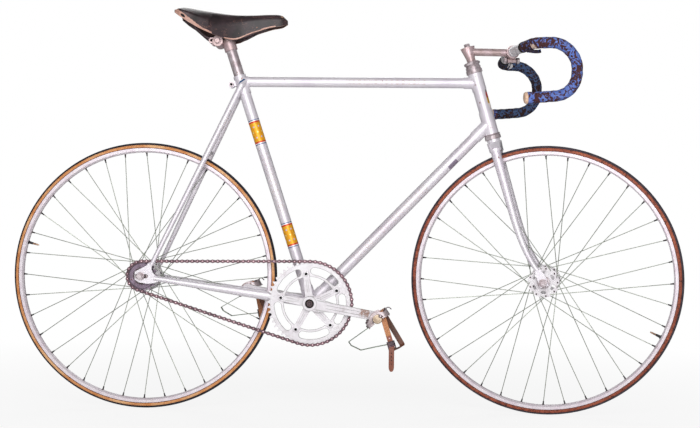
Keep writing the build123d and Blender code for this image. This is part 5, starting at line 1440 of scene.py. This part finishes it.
def section_at(share):
    """Half width, top and edge of the saddle at a share of its length, by a smooth curve."""
    last = len(sections) - 1
    number = max(0, min(last - 1, sum(1 for row in sections[1:-1] if row[0] <= share)))
    a, b = sections[number], sections[number + 1]
    before, after = sections[max(number - 1, 0)], sections[min(number + 2, last)]
    long = b[0] - a[0]
    t = (share - a[0]) / long
    values = []
    for column in (1, 2, 3):
        slope_a = (b[column] - before[column]) / (b[0] - before[0]) * long
        slope_b = (after[column] - a[column]) / (after[0] - a[0]) * long
        values.append((2 * t ** 3 - 3 * t ** 2 + 1) * a[column] + (t ** 3 - 2 * t ** 2 + t) * slope_a
                      + (3 * t ** 2 - 2 * t ** 3) * b[column] + (t ** 3 - t ** 2) * slope_b)
    return [value * SADDLE for value in values]


def arch_point(share, around, inset=0.0):
    """`around` runs from -1 at the right edge over the top to 1 at the left edge."""
    half, top, edge = section_at(share)
    half, top = half - inset, top - inset
    shoulder = top - (top - edge) * 0.45 if half > (top - edge) else top - half * 0.75
    x = (share - SIT_SHARE) * SADDLE
    side, amount, wide = -1 if around < 0 else 1, abs(around), half * FLANK_SPREAD
    if amount > 1 - FLANK:
        t = (amount - (1 - FLANK)) / FLANK
        return Vector((x, side * (wide + (half - wide) * t), shoulder + (edge - shoulder) * t))
    high = max(top - shoulder, 1e-4)
    radius = (wide ** 2 + high ** 2) / (2 * high)
    reach = asin(min(1.0, wide / radius))
    lean = (reach if high < wide else pi - reach) * amount / (1 - FLANK)
    return Vector((x, side * radius * sin(lean), top - radius + radius * cos(lean)))


ALONG, ACROSS, INNER_END = 96, 56, 0.985
TOP_PAINT, EDGE_PAINT, INNER_PAINT = range(3)
REAR_SHARE = sections[0][0]
arounds = [-1 + 2 * step / ACROSS for step in range(ACROSS + 1)]
rows = []
for step in range(ALONG + 1):
    share = REAR_SHARE + (1 - REAR_SHARE) * step / ALONG
    rows.append([arch_point(share, around) for around in arounds]
                + [arch_point(min(share, INNER_END), around, HIDE_THICK) for around in reversed(arounds)])
verts, faces = skin(rows, caps=False)
per_row = 2 * (ACROSS + 1)
for row, paint in ((0, EDGE_PAINT), (ALONG, TOP_PAINT)):
    for start in range(row * per_row, row * per_row + ACROSS):
        step = start - row * per_row
        end = row * per_row + per_row - 1 - step
        faces.append(([start, start + 1, end - 1, end], paint))
painted = []
for face, paint in faces:
    spots = {corner % per_row for corner in face}
    cut = any({a, b} <= spots for a in (0, ACROSS) for b in (ACROSS + 1, per_row - 1))
    painted.append((face, EDGE_PAINT if cut or paint == EDGE_PAINT
                    else INNER_PAINT if min(spots) > ACROSS else TOP_PAINT))
saddle = piece("saddle_leather", [(verts, painted)], (saddle_hide, worn_edge, under_hide),
               "frame", hides=("saddle_top",), angle=50)

# %% [markdown]
# Along the back the cut edge is broad and pale where hands and walls rubbed it. A slot there takes a bag strap; it
# is a dark oval sheet, painted shade where the hole is. A tan line follows the skirt to the nose. Brass rivets hold
# the hide at the back and at the nose, and nuts clamp the rails to the post; their sockets are painted dark as
# shade.

# %% Worn band, slots, rivets and clamp nuts
BAND_STEPS, BAND_POINTS, BAND_LIFT, BAND_THICK = 40, 5, 0.0005, 0.0012
SLOT_AT, SLOT_AROUND, SLOT_NEAR = 0.118, 0.90, 0.032


def edge_strip(side, first, last, width):
    rows = []
    outward = Vector((0, side, 0))
    for step in range(BAND_STEPS + 1):
        share = first + (last - first) * step / BAND_STEPS
        line, walked, around = [arch_point(share, side)], 0.0, 1.0
        while walked < width(step / BAND_STEPS):
            around -= 0.02
            line.append(arch_point(share, side * around))
            walked += (line[-1] - line[-2]).length
        picked = [line[round(k * (len(line) - 1) / BAND_POINTS)] for k in range(BAND_POINTS + 1)]
        rows.append([spot + (outward + UP * 0.6 * k / BAND_POINTS) * BAND_LIFT for k, spot in enumerate(picked)]
                    + [spot - outward * BAND_THICK for spot in reversed(picked)])
    return skin(rows)


bands, slots, rivets, clamp_parts = [], [], [], []
for side in (-1, 1):
    bands.append(edge_strip(side, REAR_SHARE + 0.004, 0.36,
                            lambda t: 0.0025 + 0.0125 * max(0.0, 1 - t / 0.75) ** 0.6))
    bands.append(edge_strip(side, 0.46, 0.90, lambda t: 0.0016 + 0.0006 * sin(9 * t)))
    middle = arch_point(SLOT_AT, side * SLOT_AROUND)
    ahead = (arch_point(SLOT_AT + SLOT_NEAR, side * SLOT_AROUND)
             - arch_point(SLOT_AT - SLOT_NEAR, side * SLOT_AROUND)).normalized()
    down = (arch_point(SLOT_AT, side) - arch_point(SLOT_AT, side * 0.80)).normalized()
    normal = ahead.cross(down)
    normal *= 1 if normal.y * side > 0 else -1
    outline = [(6.2 * cos(2 * pi * n / 24), 3.6 * sin(2 * pi * n / 24)) for n in range(24)]
    slots.append(skin([[middle + (ahead * u + down * v + normal * shift) * MM for u, v in outline]
                       for shift in (-1, 1.2)]))
piece("saddle_worn_bands", bands, worn_edge, "frame")
# The slots are dark sheets: painted shade where the holes are.
piece("saddle_slots", slots, painted_shade, "frame")
for share, around in ((0.062, -0.52), (0.060, -0.26), (0.060, 0.0), (0.060, 0.26), (0.062, 0.52),
                      (0.955, -0.35), (0.955, 0.35)):
    ahead = arch_point(share + 0.01, around) - arch_point(share - 0.01, around)
    normal = ahead.cross(arch_point(share, around + 0.02) - arch_point(share, around - 0.02))
    normal *= 1 if normal.z > 0 else -1
    rivets.append(turned(arch_point(share, around), normal,
                         ((0, 4.2), (0.6, 4), (1.3, 2.8), (1.6, 0)), 18, at=-0.4))
piece("saddle_rivets", rivets, brass, "frame")
front_lug = Vector((0.0315, 0, -0.0771))
rear_lug = Vector((0.0165, 0, -0.0757))
for out in (RIGHT, LEFT):
    clamp_parts += [
        turned(front_lug, out, ((0, 0), (0, 8), (1.4, 8), (1.8, 7.4), (1.8, 0)), 30, at=28.55),
        hexagon(front_lug, out, 5, 11.8, at=30.3, turn=0.2),
        turned(rear_lug, out, ((0, 0), (0, 7.8), (12, 7.8), (13.2, 7), (13.2, 3.8)), 28, at=13),
        turned(rear_lug, out, ((0, 3.8), (-3, 3.8), (-3, 0)), 20, 1, 26.2),
    ]
# The sockets in the rear nuts take the painted shade.
piece("saddle_clamp_nuts", clamp_parts, (stem_steel, painted_shade), "frame")

# %% [markdown]
# The view transform is set to Standard, and the CAD model's size is printed.

# %% Sizes and the end
bpy.context.scene.view_settings.view_transform = "Standard"
print("CAD:", [round(v, 4) for v in (*cad_box[0], *cad_box[1])])
